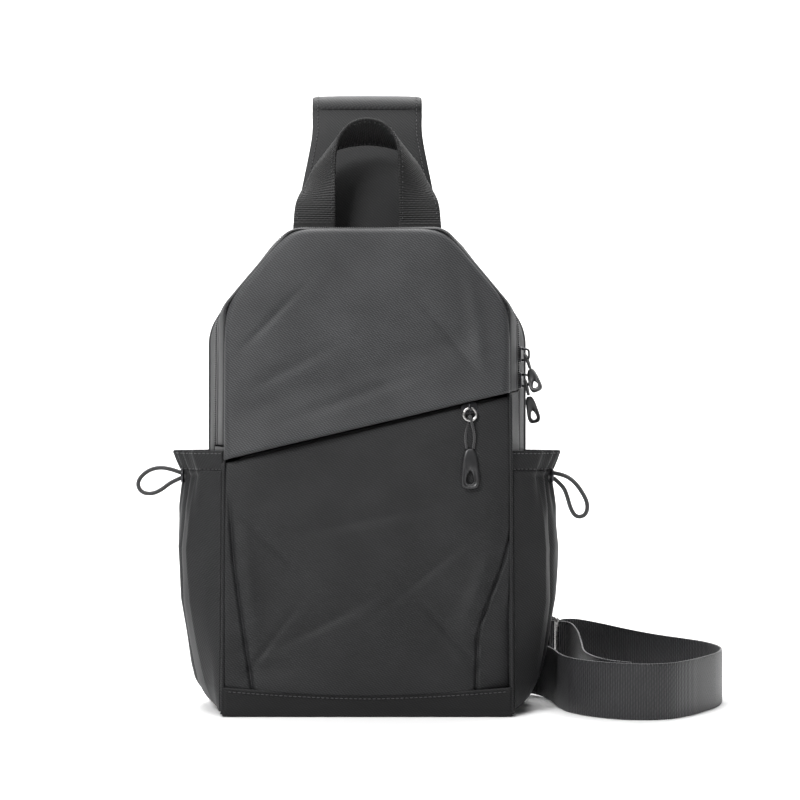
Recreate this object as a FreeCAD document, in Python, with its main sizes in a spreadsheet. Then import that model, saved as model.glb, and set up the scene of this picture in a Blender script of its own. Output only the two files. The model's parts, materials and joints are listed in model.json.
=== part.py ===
import FreeCAD, Part
import math
import os
import Sketcher
from FreeCAD import Placement, Rotation, Vector

# A small cross-body sling bag that stands on its base. The front faces -Y, the wearer's side
# faces +Y, and the origin is the middle of the base's resting face.

doc = FreeCAD.newDocument("sling_bag")
sheet = doc.addObject("Spreadsheet::Sheet", "Sizes")

# name, value in millimetres or degrees, what it is
driving_sizes = [
    ("bag_width", 194, "front panel, side to side"),
    ("bag_height", 330, "floor to the top edge of the front panel"),
    ("bag_depth", 92, "front to back at the floor"),
    ("front_lean", 4, "how far the front face leans back, degrees"),
    ("back_width", 224, "back panel, side to side"),
    ("corner_cut", 45, "front top corner, taken off the width"),
    ("corner_drop", 53, "front top corner, taken off the height"),
    ("corner_round", 14, "rounding of the front corners"),
    ("shoulder_cut", 54, "back top corner, taken off the width"),
    ("shoulder_drop", 70, "back top corner, taken off the height"),
    ("shoulder_round", 34, "rounding of the back corners"),
    ("foot_round", 30, "rounding of the back panel's bottom corners"),
    ("shell_wall", 1.6, "coated fabric with its lining"),
    ("panel_thick", 2.4, "padded front panels"),
    ("flap_left", 171, "height of the flap's edge at the left side"),
    ("flap_right", 217, "height of the flap's edge at the right side"),
    ("fold_gap", 0.5, "clearance each side of the line where the flap folds"),
    ("roll_radius", 2.2, "rolled edge of the flap"),
    ("boot_height", 19, "boot band at the foot of the front"),
    ("boot_sag", 5, "how far the boot band's seam dips in the middle"),
    ("zip_seat", 8, "where the main zip runs, behind the middle of the base"),
    ("tape_width", 5, "each half of the main zip's tape"),
    ("teeth_width", 1.6, "each row of the main zip's teeth"),
    ("teeth_proud", 0.8, "how far the teeth stand out of the shell"),
    ("teeth_gap", 0.4, "between the two rows of teeth"),
    ("front_tape_width", 6.8, "front zip's tape"),
    ("front_teeth_width", 2.4, "front zip's teeth"),
    ("front_zip_trim", 12, "front zip is this much shorter than the bag at each end"),
    ("pocket_room", 12, "depth of the front pocket behind the front panels"),
    ("lining_thick", 1, "lining and divider cloth"),
    ("inner_margin", 4, "linings stop this far inside the shell"),
    ("foam_thick", 5.5, "foam of the back panel"),
    ("mesh_thick", 1.5, "spacer mesh"),
    ("board_thick", 2, "stiffener in the base"),
    ("base_thick", 2.6, "base panel"),
    ("base_trim", 0.05, "taken off under the base panel to leave it flat"),
    ("sleeve_height", 190, "inner sleeve's top edge"),
    ("sleeve_room", 6, "gap inside the inner sleeve"),
    ("side_pocket_height", 178, "side pocket's mouth above the floor"),
    ("pocket_clear", 2.5, "from a side pocket's mouth up to the flap's walls"),
    ("hem_height", 14, "elastic hem of the side pocket"),
    ("pocket_wall", 1.6, "side pocket's cloth"),
    ("eyelet_radius", 4.4, "cord eyelet, centre of its ring"),
    ("eyelet_wire", 0.9, "cord eyelet, radius of its ring's section"),
    ("pocket_cord", 3, "diameter of the elastic cord"),
    ("strap_top", 424, "height of the middle of the strap's fold"),
    ("strap_fold", 12, "radius of the strap's fold at mid thickness"),
    ("strap_foam", 5, "foam in the shoulder strap"),
    ("strap_cloth", 1.4, "cloth on each face of the shoulder strap"),
    ("layer_gap", 0.1, "between the strap's layers"),
    ("strap_width", 81, "shoulder strap at its fold"),
    ("yoke_width", 107, "shoulder strap where it leaves the bag"),
    ("strap_end_width", 42, "shoulder strap at its lower end"),
    ("webbing_width", 38, "adjusting webbing"),
    ("webbing_thick", 1.6, "every webbing"),
    ("handle_width", 30, "width of the handle's webbing"),
    ("handle_foot_low", 4.2, "sewn feet of the handle start this far above the front's top"),
    ("handle_foot_tall", 2, "height of the sewn feet"),
    ("back_rise", 4, "how far the back stands above the front's top"),
    ("anchor_width", 12, "patch that holds the webbing's sewn end"),
    ("handle_inside", 22.5, "half the gap between the handle's feet"),
    ("handle_seat", 30, "where the handle's feet stand, behind the middle"),
    ("handle_rise", 74.5, "handle's inner edge above its hinge line"),
    ("glide_bar", 3, "tri-glide's bars"),
    ("glide_slot", 6, "tri-glide's slots"),
    ("glide_margin", 1.5, "slot's length beyond the webbing, each end"),
    ("slider_long", 11, "zip sliders, along the zip"),
    ("slider_wide", 8, "zip sliders, across the zip"),
    ("slider_plate", 1.6, "zip sliders' top plate"),
    ("slider_clear", 0.5, "between a slider and its zip"),
    ("bridge_rise", 4.4, "inside height of a slider's bridge"),
    ("bridge_bar", 1.2, "thickness of a slider's bridge"),
    ("bridge_wide", 2.2, "width of a slider's bridge"),
    ("pull_cord", 1.8, "diameter of the zip pulls' cord"),
    ("ring_radius", 4.2, "front zip's ring, centre of its wire"),
    ("ring_wire", 0.8, "front zip's ring, radius of its wire"),
    ("tab_long", 27, "rubber tab of a zip pull"),
    ("tab_top", 8.5, "rubber tab's width at the cord"),
    ("tab_end", 14.5, "rubber tab's width at its free end"),
    ("tab_thick", 5, "rubber tab's thickness"),
    ("tab_hole", 7, "finger hole in the rubber tab"),
    ("upper_slider", 244, "height of the upper slider on the main zip"),
    ("lower_slider", 226, "height of the lower slider on the main zip"),
    ("upper_pull_lean", 22, "upper pull hangs this far out from the zip, degrees"),
    ("lower_pull_lean", 12, "lower pull hangs this far out from the zip, degrees"),
    ("upper_pull_fan", 33, "upper pull hangs this far to the front, degrees"),
    ("lower_pull_fan", -14, "lower pull hangs this far to the front, degrees"),
    ("zip_foot", 195, "lower end of the main zip on the right side"),
    ("front_slider", 70, "front slider's place along its zip, right of the middle"),
    ("main_pull_drop", 10.5, "cord between a main slider and its tab"),
    ("front_pull_drop", 19, "cord between the front ring and its tab"),
    ("main_tab_scale", 0.72, "main tabs, as a share of the front tab"),
]
for row, (name, value, note) in enumerate(driving_sizes, start=1):
    sheet.set(f"A{row}", str(value))
    sheet.setAlias(f"A{row}", name)
    sheet.set(f"B{row}", note)
doc.recompute()


def size(name):
    return float(sheet.get(name))


front_y = -size("bag_depth") / 2
back_y = size("bag_depth") / 2
half_width = size("bag_width") / 2
half_back = size("back_width") / 2
flap_slope = (size("flap_right") - size("flap_left")) / size("bag_width")
flap_middle = (size("flap_right") + size("flap_left")) / 2
flap_angle = math.degrees(math.atan(flap_slope))
shell_back_y = back_y - size("mesh_thick") - size("foam_thick") - size("lining_thick")
front_foot = 2 * size("panel_thick")
back_top = size("bag_height") + size("back_rise")

# one entry per sub-part: its name and its object
parts = {}


# ---------------------------------------------------------------- small helpers

def keep(name, obj):
    obj.Label = name
    parts[name] = obj
    return obj


def plain(name, shape, placement=None):
    """A sub-part whose shape is worked out from the sheet's sizes."""
    obj = doc.addObject("Part::Feature", name)
    obj.Shape = shape
    if placement is not None:
        obj.Placement = placement
    return keep(name, obj)


def lean_placement(depth=0.0):
    """The front face's own frame: X across, Z up the face, Y into the bag."""
    turn = Rotation(Vector(1, 0, 0), -size("front_lean"))
    return Placement(Vector(0, front_y, 0), turn).multiply(Placement(Vector(0, depth, 0), Rotation()))


def bind_lean(obj, depth):
    """Keeps an object in the front face's frame, at a depth given in words of the sheet."""
    obj.Placement = lean_placement()
    obj.setExpression("Placement.Rotation.Angle", "-Sizes.front_lean")
    obj.setExpression("Placement.Base.y", f"-Sizes.bag_depth / 2 + ({depth}) * cos(Sizes.front_lean)")
    obj.setExpression("Placement.Base.z", f"-({depth}) * sin(Sizes.front_lean)")


def add_outline(body, sketch, corners):
    """Straight-sided closed outline whose corners are bound to the sheet."""
    points = [Vector(sketch.evalExpression(x), sketch.evalExpression(z), 0) for x, z in corners]
    count = len(points)
    for i in range(count):
        sketch.addGeometry(Part.LineSegment(points[i], points[(i + 1) % count]), False)
    for i in range(count):
        sketch.addConstraint(Sketcher.Constraint("Coincident", i, 2, (i + 1) % count, 1))
    for i, (x, z) in enumerate(corners):
        for kind, words, value in (("DistanceX", x, points[i].x), ("DistanceY", z, points[i].y)):
            place = sketch.addConstraint(Sketcher.Constraint(kind, -1, 1, i, 1, value))
            sketch.setExpression(f"Constraints[{place}]", words)


def new_sketch(body, name, role):
    sketch = body.newObject("Sketcher::SketchObject", name)
    plane = next(item for item in body.Origin.OriginFeatures if item.Role == role)
    sketch.AttachmentSupport = [(plane, "")]
    sketch.MapMode = "FlatFace"
    return sketch


def slab(name, corners, thick, rounds=(), cuts=(), role="XZ_Plane"):
    """A flat panel: an outline padded away from -Y, with some corners rounded and holes cut."""
    body = doc.addObject("PartDesign::Body", name)
    sketch = new_sketch(body, f"{name}_outline", role)
    add_outline(body, sketch, corners)
    pad = body.newObject("PartDesign::Pad", f"{name}_pad")
    pad.Profile = sketch
    pad.setExpression("Length", thick)
    pad.Reversed = role == "XZ_Plane"
    doc.recompute()
    for number, (corner, radius) in enumerate(rounds):
        x, z = (sketch.evalExpression(words) for words in corners[corner])
        place = Vector(x, 0, z) if role == "XZ_Plane" else Vector(x, z, 0)
        across = Vector(0, 1, 0) if role == "XZ_Plane" else Vector(0, 0, 1)
        base = body.Tip
        names = []
        for index, edge in enumerate(base.Shape.Edges, start=1):
            ends = [vertex.Point - place for vertex in edge.Vertexes]
            if len(ends) == 2 and all(end.cross(across).Length < 1e-4 for end in ends):
                names.append(f"Edge{index}")
        fillet = body.newObject("PartDesign::Fillet", f"{name}_round_{number}")
        fillet.Base = (base, names)
        fillet.setExpression("Radius", radius)
        doc.recompute()
    for number, hole in enumerate(cuts):
        cut_sketch = new_sketch(body, f"{name}_hole_{number}", role)
        add_outline(body, cut_sketch, hole)
        before = body.Shape.Volume
        pocket = body.newObject("PartDesign::Pocket", f"{name}_cut_{number}")
        pocket.Profile = cut_sketch
        pocket.Type = "ThroughAll"
        pocket.Midplane = True
        doc.recompute()
        if body.Shape.Volume >= before:
            raise ValueError(f"{name}: hole {number} cut nothing")
    return keep(name, body)


def box(name, length, width, height, x, y, z):
    """An upright block, all of it bound to the sheet."""
    obj = doc.addObject("Part::Box", name)
    for prop, words in (("Length", length), ("Width", width), ("Height", height),
                        ("Placement.Base.x", x), ("Placement.Base.y", y), ("Placement.Base.z", z)):
        obj.setExpression(prop, words)
    return keep(name, obj)


def rounded_outline(corners):
    """Edges of a closed outline in the XZ plane: each corner is (x, z, radius)."""
    count = len(corners)
    arcs = []
    for i, (x, z, radius) in enumerate(corners):
        point = Vector(x, 0, z)
        before = Vector(corners[i - 1][0], 0, corners[i - 1][1]) - point
        after = Vector(corners[(i + 1) % count][0], 0, corners[(i + 1) % count][1]) - point
        half = before.getAngle(after) / 2
        reach = radius / math.tan(half)
        start = point + before.normalize() * reach
        end = point + after.normalize() * reach
        inward = (before + after).normalize()
        middle = point + inward * (radius / math.sin(half) - radius)
        arcs.append((start, middle, end))
    edges = []
    for i, (start, middle, end) in enumerate(arcs):
        edges.append(Part.Arc(start, middle, end).toShape())
        edges.append(Part.LineSegment(end, arcs[(i + 1) % count][0]).toShape())
    return Part.Wire(edges)


def outline(half, height, cut, drop, foot, corner, shoulder, low, inset):
    """The bag's outline seen from the front, taken inward by inset."""
    slant = math.atan2(drop, cut)
    side = half - inset
    top = height - inset
    # the slanted side moves inward with the rest, so its ends slide along their neighbours
    cut_x = half - cut - inset * math.tan(slant / 2)
    cut_z = height - drop - inset * math.tan((math.pi / 2 - slant) / 2)
    bottom = low + inset
    return [(-side, bottom, foot - inset), (side, bottom, foot - inset),
            (side, cut_z, shoulder - inset), (cut_x, top, corner - inset),
            (-cut_x, top, corner - inset), (-side, cut_z, shoulder - inset)]


def shell_solid(inset):
    """The bag between its front panels and its back panel, as one solid."""
    depth = size("panel_thick")
    low = depth * math.tan(math.radians(size("front_lean")))
    tall = size("bag_height") + low
    front = outline(half_width, tall, size("corner_cut"), size("corner_drop"), front_foot,
                    size("corner_round"), size("corner_round"), low, inset)
    back = outline(half_back, back_top, size("shoulder_cut"), size("shoulder_drop"),
                   size("foot_round"), size("shoulder_round"), size("shoulder_round"), 0, inset)
    front_wire = rounded_outline(front)
    front_wire.Placement = lean_placement(depth)
    back_wire = rounded_outline(back)
    back_wire.Placement = Placement(Vector(0, shell_back_y, 0), Rotation())
    return Part.makeLoft([front_wire, back_wire], True, True)


def shell_ring(outset, inset):
    return shell_solid(-outset).cut(shell_solid(inset))


far = 2 * (size("bag_height") + size("bag_depth"))


def between(y1, y2, z1=-far, z2=far):
    return Part.makeBox(2 * far, y2 - y1, z2 - z1, Vector(-far, y1, z1))


def fold_side(upper):
    """All the space above or below the slanting fold line, less the fold's clearance."""
    gap = size("fold_gap") if upper else -size("fold_gap")
    limit = far if upper else -far
    heights = [flap_middle + gap + flap_slope * x for x in (-far, far)]
    corners = [Vector(-far, -far, heights[0]), Vector(far, -far, heights[1]),
               Vector(far, -far, limit), Vector(-far, -far, limit)]
    return Part.Face(Part.makePolygon(corners + corners[:1])).extrude(Vector(0, 2 * far, 0))


def wall_x(y, z):
    """Half-width of the shell's outside at a place on its upright side."""
    near = front_y + size("panel_thick") + z * math.tan(math.radians(size("front_lean")))
    share = (y - near) / (shell_back_y - near)
    foot = front_foot + (size("foot_round") - front_foot) * share
    tuck = foot - math.sqrt(foot ** 2 - max(foot - z, 0) ** 2)
    return half_width + (half_back - half_width) * share - tuck


def ribbon(edges, thick, offset=0.0):
    """A flat band through pairs of edge points, ruled from one pair to the next."""
    middles = [(a + b) * 0.5 for a, b in edges]
    rings = []
    for i, (a, b) in enumerate(edges):
        along = middles[min(i + 1, len(edges) - 1)] - middles[max(i - 1, 0)]
        normal = along.cross(b - a).normalize()
        low = normal * (offset - thick / 2)
        high = normal * (offset + thick / 2)
        rings.append([a + low, b + low, b + high, a + high, a + low])
    faces = [Part.Face(Part.makePolygon(ring)) for ring in (rings[0], rings[-1])]
    for near, far in zip(rings, rings[1:]):
        for k in range(4):
            faces.append(Part.makeRuledSurface(Part.makeLine(near[k], near[k + 1]),
                                               Part.makeLine(far[k], far[k + 1])))
    shell = Part.makeShell(faces)
    shell.sewShape()
    band = Part.makeSolid(shell)
    if band.Volume < 0:
        band.reverse()
    return band


def cord(name, points, diameter):
    """A round cord: straight runs joined by the largest tangent arcs its runs allow."""
    edges = []
    radii = []
    at = points[0]
    for i in range(1, len(points) - 1):
        before = points[i - 1] - points[i]
        after = points[i + 1] - points[i]
        half_turn = (math.pi - before.getAngle(after)) / 2
        reach = 0.45 * min(before.Length, after.Length)
        radius = reach / math.tan(half_turn)
        start = points[i] + before.normalize() * reach
        end = points[i] + after.normalize() * reach
        inward = (before + after).normalize()
        middle = points[i] + inward * (radius / math.cos(half_turn) - radius)
        edges.append(Part.LineSegment(at, start).toShape())
        edges.append(Part.Arc(start, middle, end).toShape())
        radii.append(radius)
        at = end
    edges.append(Part.LineSegment(at, points[-1]).toShape())
    spine = Part.Wire(edges)
    circle = Part.makeCircle(diameter / 2, points[0], points[1] - points[0])
    tube = spine.makePipeShell([Part.Wire(circle)], True, True)
    expected = math.pi * diameter ** 2 / 4 * spine.Length
    print(f"{name}: length {spine.Length:.1f}, tightest {min(radii):.1f}, "
          f"radii {[round(radius, 1) for radius in radii]}, volume {tube.Volume / expected:.3f} of expected")
    return tube


# ---------------------------------------------------------------- front face, below the fold

slope_words = "(Sizes.flap_right - Sizes.flap_left) / Sizes.bag_width"
middle_words = "(Sizes.flap_right + Sizes.flap_left) / 2"
fold_words = f"({middle_words} + ({slope_words}) * ({{x}}))"
under_zip = "(Sizes.fold_gap + Sizes.front_tape_width * 1.03 + 0.4)"


def below_zip(x):
    """Height of the lower panels' top edge at x, in words of the sheet."""
    return f"{fold_words.format(x=x)} - {under_zip}"


side = "Sizes.bag_width / 2"
left_seam = [("-Sizes.bag_width * 0.463", "Sizes.bag_height * 0.318"),
             ("-Sizes.bag_width * 0.418", "Sizes.bag_height * 0.136"),
             ("-Sizes.bag_width * 0.394", "Sizes.boot_height")]
right_seam = [("Sizes.bag_width * 0.374", "Sizes.boot_height"),
              ("Sizes.bag_width * 0.38", "Sizes.bag_height * 0.158"),
              ("Sizes.bag_width * 0.422", "Sizes.bag_height * 0.238"),
              (side, "Sizes.bag_height * 0.379")]
seam_top_x = "-Sizes.bag_width * 0.487"
boot_middle = ("0", "Sizes.boot_height - Sizes.boot_sag")

slab("front_center_panel",
     [(seam_top_x, below_zip(seam_top_x))] + left_seam + [boot_middle] + right_seam
     + [(side, below_zip(side))], "Sizes.panel_thick")
slab("front_left_panel",
     [(f"-{side}", "Sizes.boot_height"), left_seam[2], left_seam[1], left_seam[0],
      (seam_top_x, below_zip(seam_top_x)), (f"-{side}", below_zip(f"-{side}"))], "Sizes.panel_thick")
slab("front_right_panel",
     [right_seam[0], (side, "Sizes.boot_height"), right_seam[3], right_seam[2], right_seam[1]],
     "Sizes.panel_thick")
slab("front_boot",
     [(f"-{side}", "Sizes.lining_thick"), (side, "Sizes.lining_thick"), (side, "Sizes.boot_height"),
      right_seam[0], boot_middle, left_seam[2], (f"-{side}", "Sizes.boot_height")], "Sizes.panel_thick")
for name in ("front_center_panel", "front_left_panel", "front_right_panel", "front_boot"):
    bind_lean(parts[name], "0")

# the front pocket's inner wall hangs behind the panels
lining_side = "(Sizes.bag_width / 2 - Sizes.inner_margin)"
slab("front_pocket_lining",
     [(f"-{lining_side}", "Sizes.base_thick + Sizes.board_thick + Sizes.inner_margin"),
      (lining_side, "Sizes.base_thick + Sizes.board_thick + Sizes.inner_margin"),
      (lining_side, below_zip(lining_side)), (f"-{lining_side}", below_zip(f"-{lining_side}"))],
     "Sizes.lining_thick")
bind_lean(parts["front_pocket_lining"], "Sizes.panel_thick + Sizes.pocket_room")

# ---------------------------------------------------------------- front zip, along the fold


def diagonal_placement(along=0.0, up=0.0, depth=0.0):
    """The front zip's own frame: X along the zip, Z square to it, Y into the bag."""
    middle = Placement(Vector(0, 0, flap_middle), Rotation(Vector(0, 1, 0), -flap_angle))
    local = Placement(Vector(along, depth, up), Rotation())
    return lean_placement().multiply(middle).multiply(local)


zip_length = (size("bag_width") - 2 * size("front_zip_trim")) / math.cos(math.radians(flap_angle))
zip_bottom = -size("fold_gap") - size("front_tape_width")
tape_thick = size("lining_thick")
tape = Part.makeBox(zip_length, tape_thick, size("front_tape_width"), Vector(-zip_length / 2, 0, 0))
plain("front_zip_tape", tape, diagonal_placement(0, zip_bottom, size("panel_thick") - tape_thick))
teeth_lift = (size("front_tape_width") - size("front_teeth_width")) / 2
teeth = Part.makeBox(zip_length, size("teeth_proud"), size("front_teeth_width"), Vector(-zip_length / 2, 0, 0))
teeth_depth = size("panel_thick") - tape_thick - size("teeth_proud")
plain("front_zip_teeth", teeth, diagonal_placement(0, zip_bottom + teeth_lift, teeth_depth))

# ---------------------------------------------------------------- flap, above the fold

above_fold = " + Sizes.fold_gap"
slab("flap_panel",
     [(f"-{side}", fold_words.format(x=f"-{side}") + above_fold),
      (side, fold_words.format(x=side) + above_fold),
      (side, "Sizes.bag_height - Sizes.corner_drop"),
      ("Sizes.bag_width / 2 - Sizes.corner_cut", "Sizes.bag_height"),
      ("-(Sizes.bag_width / 2 - Sizes.corner_cut)", "Sizes.bag_height"),
      (f"-{side}", "Sizes.bag_height - Sizes.corner_drop")],
     "Sizes.panel_thick", rounds=[(corner, "Sizes.corner_round") for corner in (2, 3, 4, 5)])
bind_lean(parts["flap_panel"], "0")

# the flap's lower edge is a roll of cloth that stands in front of it
roll_length = size("bag_width") / math.cos(math.radians(flap_angle)) - 2
roll_radius = size("roll_radius")
roll = Part.makeCylinder(roll_radius, roll_length, Vector(-roll_length / 2, 0, 0), Vector(1, 0, 0))
plain("flap_edge_roll", roll, diagonal_placement(0, size("fold_gap") + roll_radius, -roll_radius - 0.05))

zip_y = size("zip_seat")
teeth_front = zip_y - size("teeth_gap") / 2 - size("teeth_width")
teeth_rear = zip_y + size("teeth_gap") / 2
tape_front = teeth_front - size("tape_width")
tape_rear_end = teeth_rear + size("teeth_width") + size("tape_width")
# the flap's walls end above the side pockets, which they would catch as the flap folds
wall_foot = size("side_pocket_height") + size("pocket_clear")
above = fold_side(True).common(between(-far, far, wall_foot + size("fold_gap")))
below = fold_side(False).fuse(between(-far, far, -far, wall_foot - size("fold_gap")))
skin = shell_ring(0, size("shell_wall"))
tape_ring = shell_ring(-0.3, size("shell_wall"))
teeth_ring = shell_ring(size("teeth_proud"), size("shell_wall"))

plain("flap_gusset", skin.common(between(-far, tape_front)).common(above))
plain("main_zip_tape_front", tape_ring.common(between(tape_front, teeth_front)).common(above))
plain("main_zip_teeth_front",
      teeth_ring.common(between(teeth_front, teeth_front + size("teeth_width"))).common(above))

# ---------------------------------------------------------------- shell, below and behind

base_top = size("base_thick")
lower_skin = skin.common(between(-far, tape_rear_end, base_top)).common(below)
tape_rows = between(teeth_rear + size("teeth_width"), tape_rear_end)
plain("main_zip_tape_rear", tape_ring.common(tape_rows).common(above))
plain("main_zip_teeth_rear",
      teeth_ring.common(between(teeth_rear, teeth_rear + size("teeth_width"))).common(above))
right_half = Part.makeBox(far, 2 * far, 2 * far, Vector(0, -far, -far))
zip_end_room = between(tape_front, tape_rear_end, size("zip_foot")).common(right_half)
plain("side_gusset_left", lower_skin.cut(right_half))
plain("side_gusset_right", lower_skin.common(right_half).cut(zip_end_room))
end_tape = tape_ring.common(zip_end_room).common(below)
end_teeth = teeth_ring.common(zip_end_room).common(below).common(
    between(teeth_front, teeth_rear + size("teeth_width")))
plain("main_zip_end_right", end_tape.fuse(end_teeth).removeSplitter())
plain("rear_gusset", skin.common(between(tape_rear_end, far, base_top)))
plain("base_panel", shell_solid(-size("base_trim")).common(between(-far, far, 0, base_top)))

board = "(Sizes.inner_margin + Sizes.shell_wall)"
# at the back the shell's corners round in, so what fits there is narrower where the front is the wider one
rear_half = "min(Sizes.bag_width / 2; (Sizes.back_width - Sizes.foot_round) / 2)"
board_back = "Sizes.bag_depth / 2 - Sizes.mesh_thick - Sizes.foam_thick - 2.5 * Sizes.inner_margin"
slab("base_board",
     [(f"-(Sizes.bag_width / 2 - {board})", f"-Sizes.bag_depth / 2 + Sizes.panel_thick + {board}"),
      (f"Sizes.bag_width / 2 - {board}", f"-Sizes.bag_depth / 2 + Sizes.panel_thick + {board}"),
      (f"{rear_half} - {board}", board_back), (f"-({rear_half} - {board})", board_back)],
     "Sizes.board_thick", rounds=[(corner, "2 * Sizes.inner_margin") for corner in range(4)],
     role="XY_Plane")
parts["base_board"].setExpression("Placement.Base.z", "Sizes.base_thick")

# ---------------------------------------------------------------- back: lining, foam, mesh


def back_layer(name, start, thick, inset):
    corners = outline(half_back, back_top, size("shoulder_cut"), size("shoulder_drop"),
                      size("foot_round"), size("shoulder_round"), size("shoulder_round"), 0, inset)
    face = Part.Face(rounded_outline(corners))
    layer = plain(name, face.extrude(Vector(0, thick, 0)))
    layer.Placement = Placement(Vector(0, start, 0), Rotation())


back_layer("back_lining", shell_back_y, size("lining_thick"), 0)
back_layer("back_foam", shell_back_y + size("lining_thick"), size("foam_thick"), 1)
back_layer("back_mesh", back_y - size("mesh_thick"), size("mesh_thick"), 0)

# a padded sleeve stands against the back lining
sleeve_side = f"({rear_half} - Sizes.inner_margin - Sizes.shell_wall)"
slab("inner_sleeve",
     [(f"-{sleeve_side}", "Sizes.base_thick + Sizes.board_thick"),
      (sleeve_side, "Sizes.base_thick + Sizes.board_thick"),
      (sleeve_side, "Sizes.sleeve_height"), (f"-{sleeve_side}", "Sizes.sleeve_height")],
     "2 * Sizes.lining_thick")
parts["inner_sleeve"].setExpression(
    "Placement.Base.y", "Sizes.bag_depth / 2 - Sizes.mesh_thick - Sizes.foam_thick"
    " - 3 * Sizes.lining_thick - Sizes.sleeve_room")

# ---------------------------------------------------------------- side pockets with hem and cord

# share of the pocket's height, and how far its middle stands off the shell there
pocket_belly = [(0.02, 3), (0.035, 5), (0.055, 7), (0.08, 9.5), (0.11, 12), (0.17, 15), (0.25, 18), (0.42, 23),
                (0.62, 25), (0.78, 23), (0.9, 19), (1.0, 27)]


def belly_at(share):
    for (low, low_room), (high, high_room) in zip(pocket_belly, pocket_belly[1:]):
        if share <= high:
            return low_room + (high_room - low_room) * (share - low) / (high - low)
    return pocket_belly[-1][1]


def pocket_level(sign, height, thick, outset):
    """One level of a side pocket: a thin curved band that starts and ends on the shell's side."""
    clear = 0.6
    y_front = front_y + height * math.tan(math.radians(size("front_lean"))) + size("panel_thick") + 1
    y_back = shell_back_y - 1
    room = belly_at(height / size("side_pocket_height")) + outset
    ends = 3 * thick

    def on_wall(y):
        return Vector(sign * (wall_x(y, height) + clear), y, height)

    middle = on_wall(0) + Vector(sign * room, 0, 0)
    outer = Part.Arc(on_wall(y_front), middle, on_wall(y_back)).toShape()
    inner_middle = middle - Vector(sign * thick, 0, 0)
    inner = Part.Arc(on_wall(y_back - ends), inner_middle, on_wall(y_front + ends)).toShape()
    rear_end = Part.LineSegment(on_wall(y_back), on_wall(y_back - ends)).toShape()
    front_end = Part.LineSegment(on_wall(y_front + ends), on_wall(y_front)).toShape()
    return Part.Wire([outer, rear_end, inner, front_end])


pocket_top = size("side_pocket_height")
hem_foot = pocket_top - size("hem_height")
pocket_heights = [share * pocket_top for share, room in pocket_belly if share * pocket_top < hem_foot] + [hem_foot]
eyelet_height = hem_foot - 4
eyelet_stand = 2.2

for name, sign in (("left", -1), ("right", 1)):
    levels = [pocket_level(sign, height, size("pocket_wall"), 0) for height in pocket_heights]
    plain(f"pocket_{name}", Part.makeLoft(levels, True, True))
    hem_levels = [pocket_level(sign, height, 1.4 * size("pocket_wall"), 0.4) for height in (hem_foot, pocket_top)]
    plain(f"pocket_hem_{name}", Part.makeLoft(hem_levels, True, True))
    eyelet_x = wall_x(0, eyelet_height) + belly_at(hem_foot / pocket_top) + size("eyelet_wire") + eyelet_stand
    eyelet = doc.addObject("Part::Torus", f"cord_eyelet_{name}")
    eyelet.setExpression("Radius1", "Sizes.eyelet_radius")
    eyelet.setExpression("Radius2", "Sizes.eyelet_wire")
    eyelet.Placement = Placement(Vector(sign * eyelet_x, 0, eyelet_height), Rotation(Vector(0, 1, 0), 90))
    keep(f"cord_eyelet_{name}", eyelet)

# the elastic cords' loops: both legs leave one eyelet, the left one sideways, the right one down
cord_routes = {
    "left": [(-128.8, 0, 161.7), (-137, -1, 165), (-146.5, -2, 165.5), (-154.5, -3, 161.5), (-159, -3.5, 155),
             (-156.5, -3.5, 148.5), (-149, -3, 147), (-142, -2, 150.2), (-136, -1, 155.3), (-128.8, 0, 158.3)],
    "right": [(128.8, 0, 161.7), (136.5, -1, 160.5), (143.5, -2, 155.5), (149, -3, 148), (152.5, -4, 140),
              (151, -4, 132.5), (144.5, -3.5, 131), (140.5, -3, 137), (138.5, -2, 145.5), (135.5, -1, 153),
              (128.8, 0, 158.3)],
}
for name, route in cord_routes.items():
    tube = cord(f"pocket_cord_{name}", [Vector(*point) for point in route], size("pocket_cord"))
    plain(f"pocket_cord_{name}", tube)

# ---------------------------------------------------------------- shoulder strap: yoke, fold, fall

yoke_half = size("yoke_width") / 2
strap_half = size("strap_width") / 2
fold_radius = size("strap_fold")
strap_foot = size("bag_height") - 8
strap_half_thick = size("strap_foam") / 2 + size("layer_gap") + size("strap_cloth")
yoke_foot_y = back_y + strap_half_thick + 0.4
fold_y = yoke_foot_y + 40


def strap_pair(x, y, z, half, tilt=0.0):
    """The band's two edges at one place: tilt leans the width in the XZ plane, degrees."""
    reach = Vector(half * math.cos(math.radians(tilt)), 0, half * math.sin(math.radians(tilt)))
    return (Vector(x, y, z) + reach, Vector(x, y, z) - reach)


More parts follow.
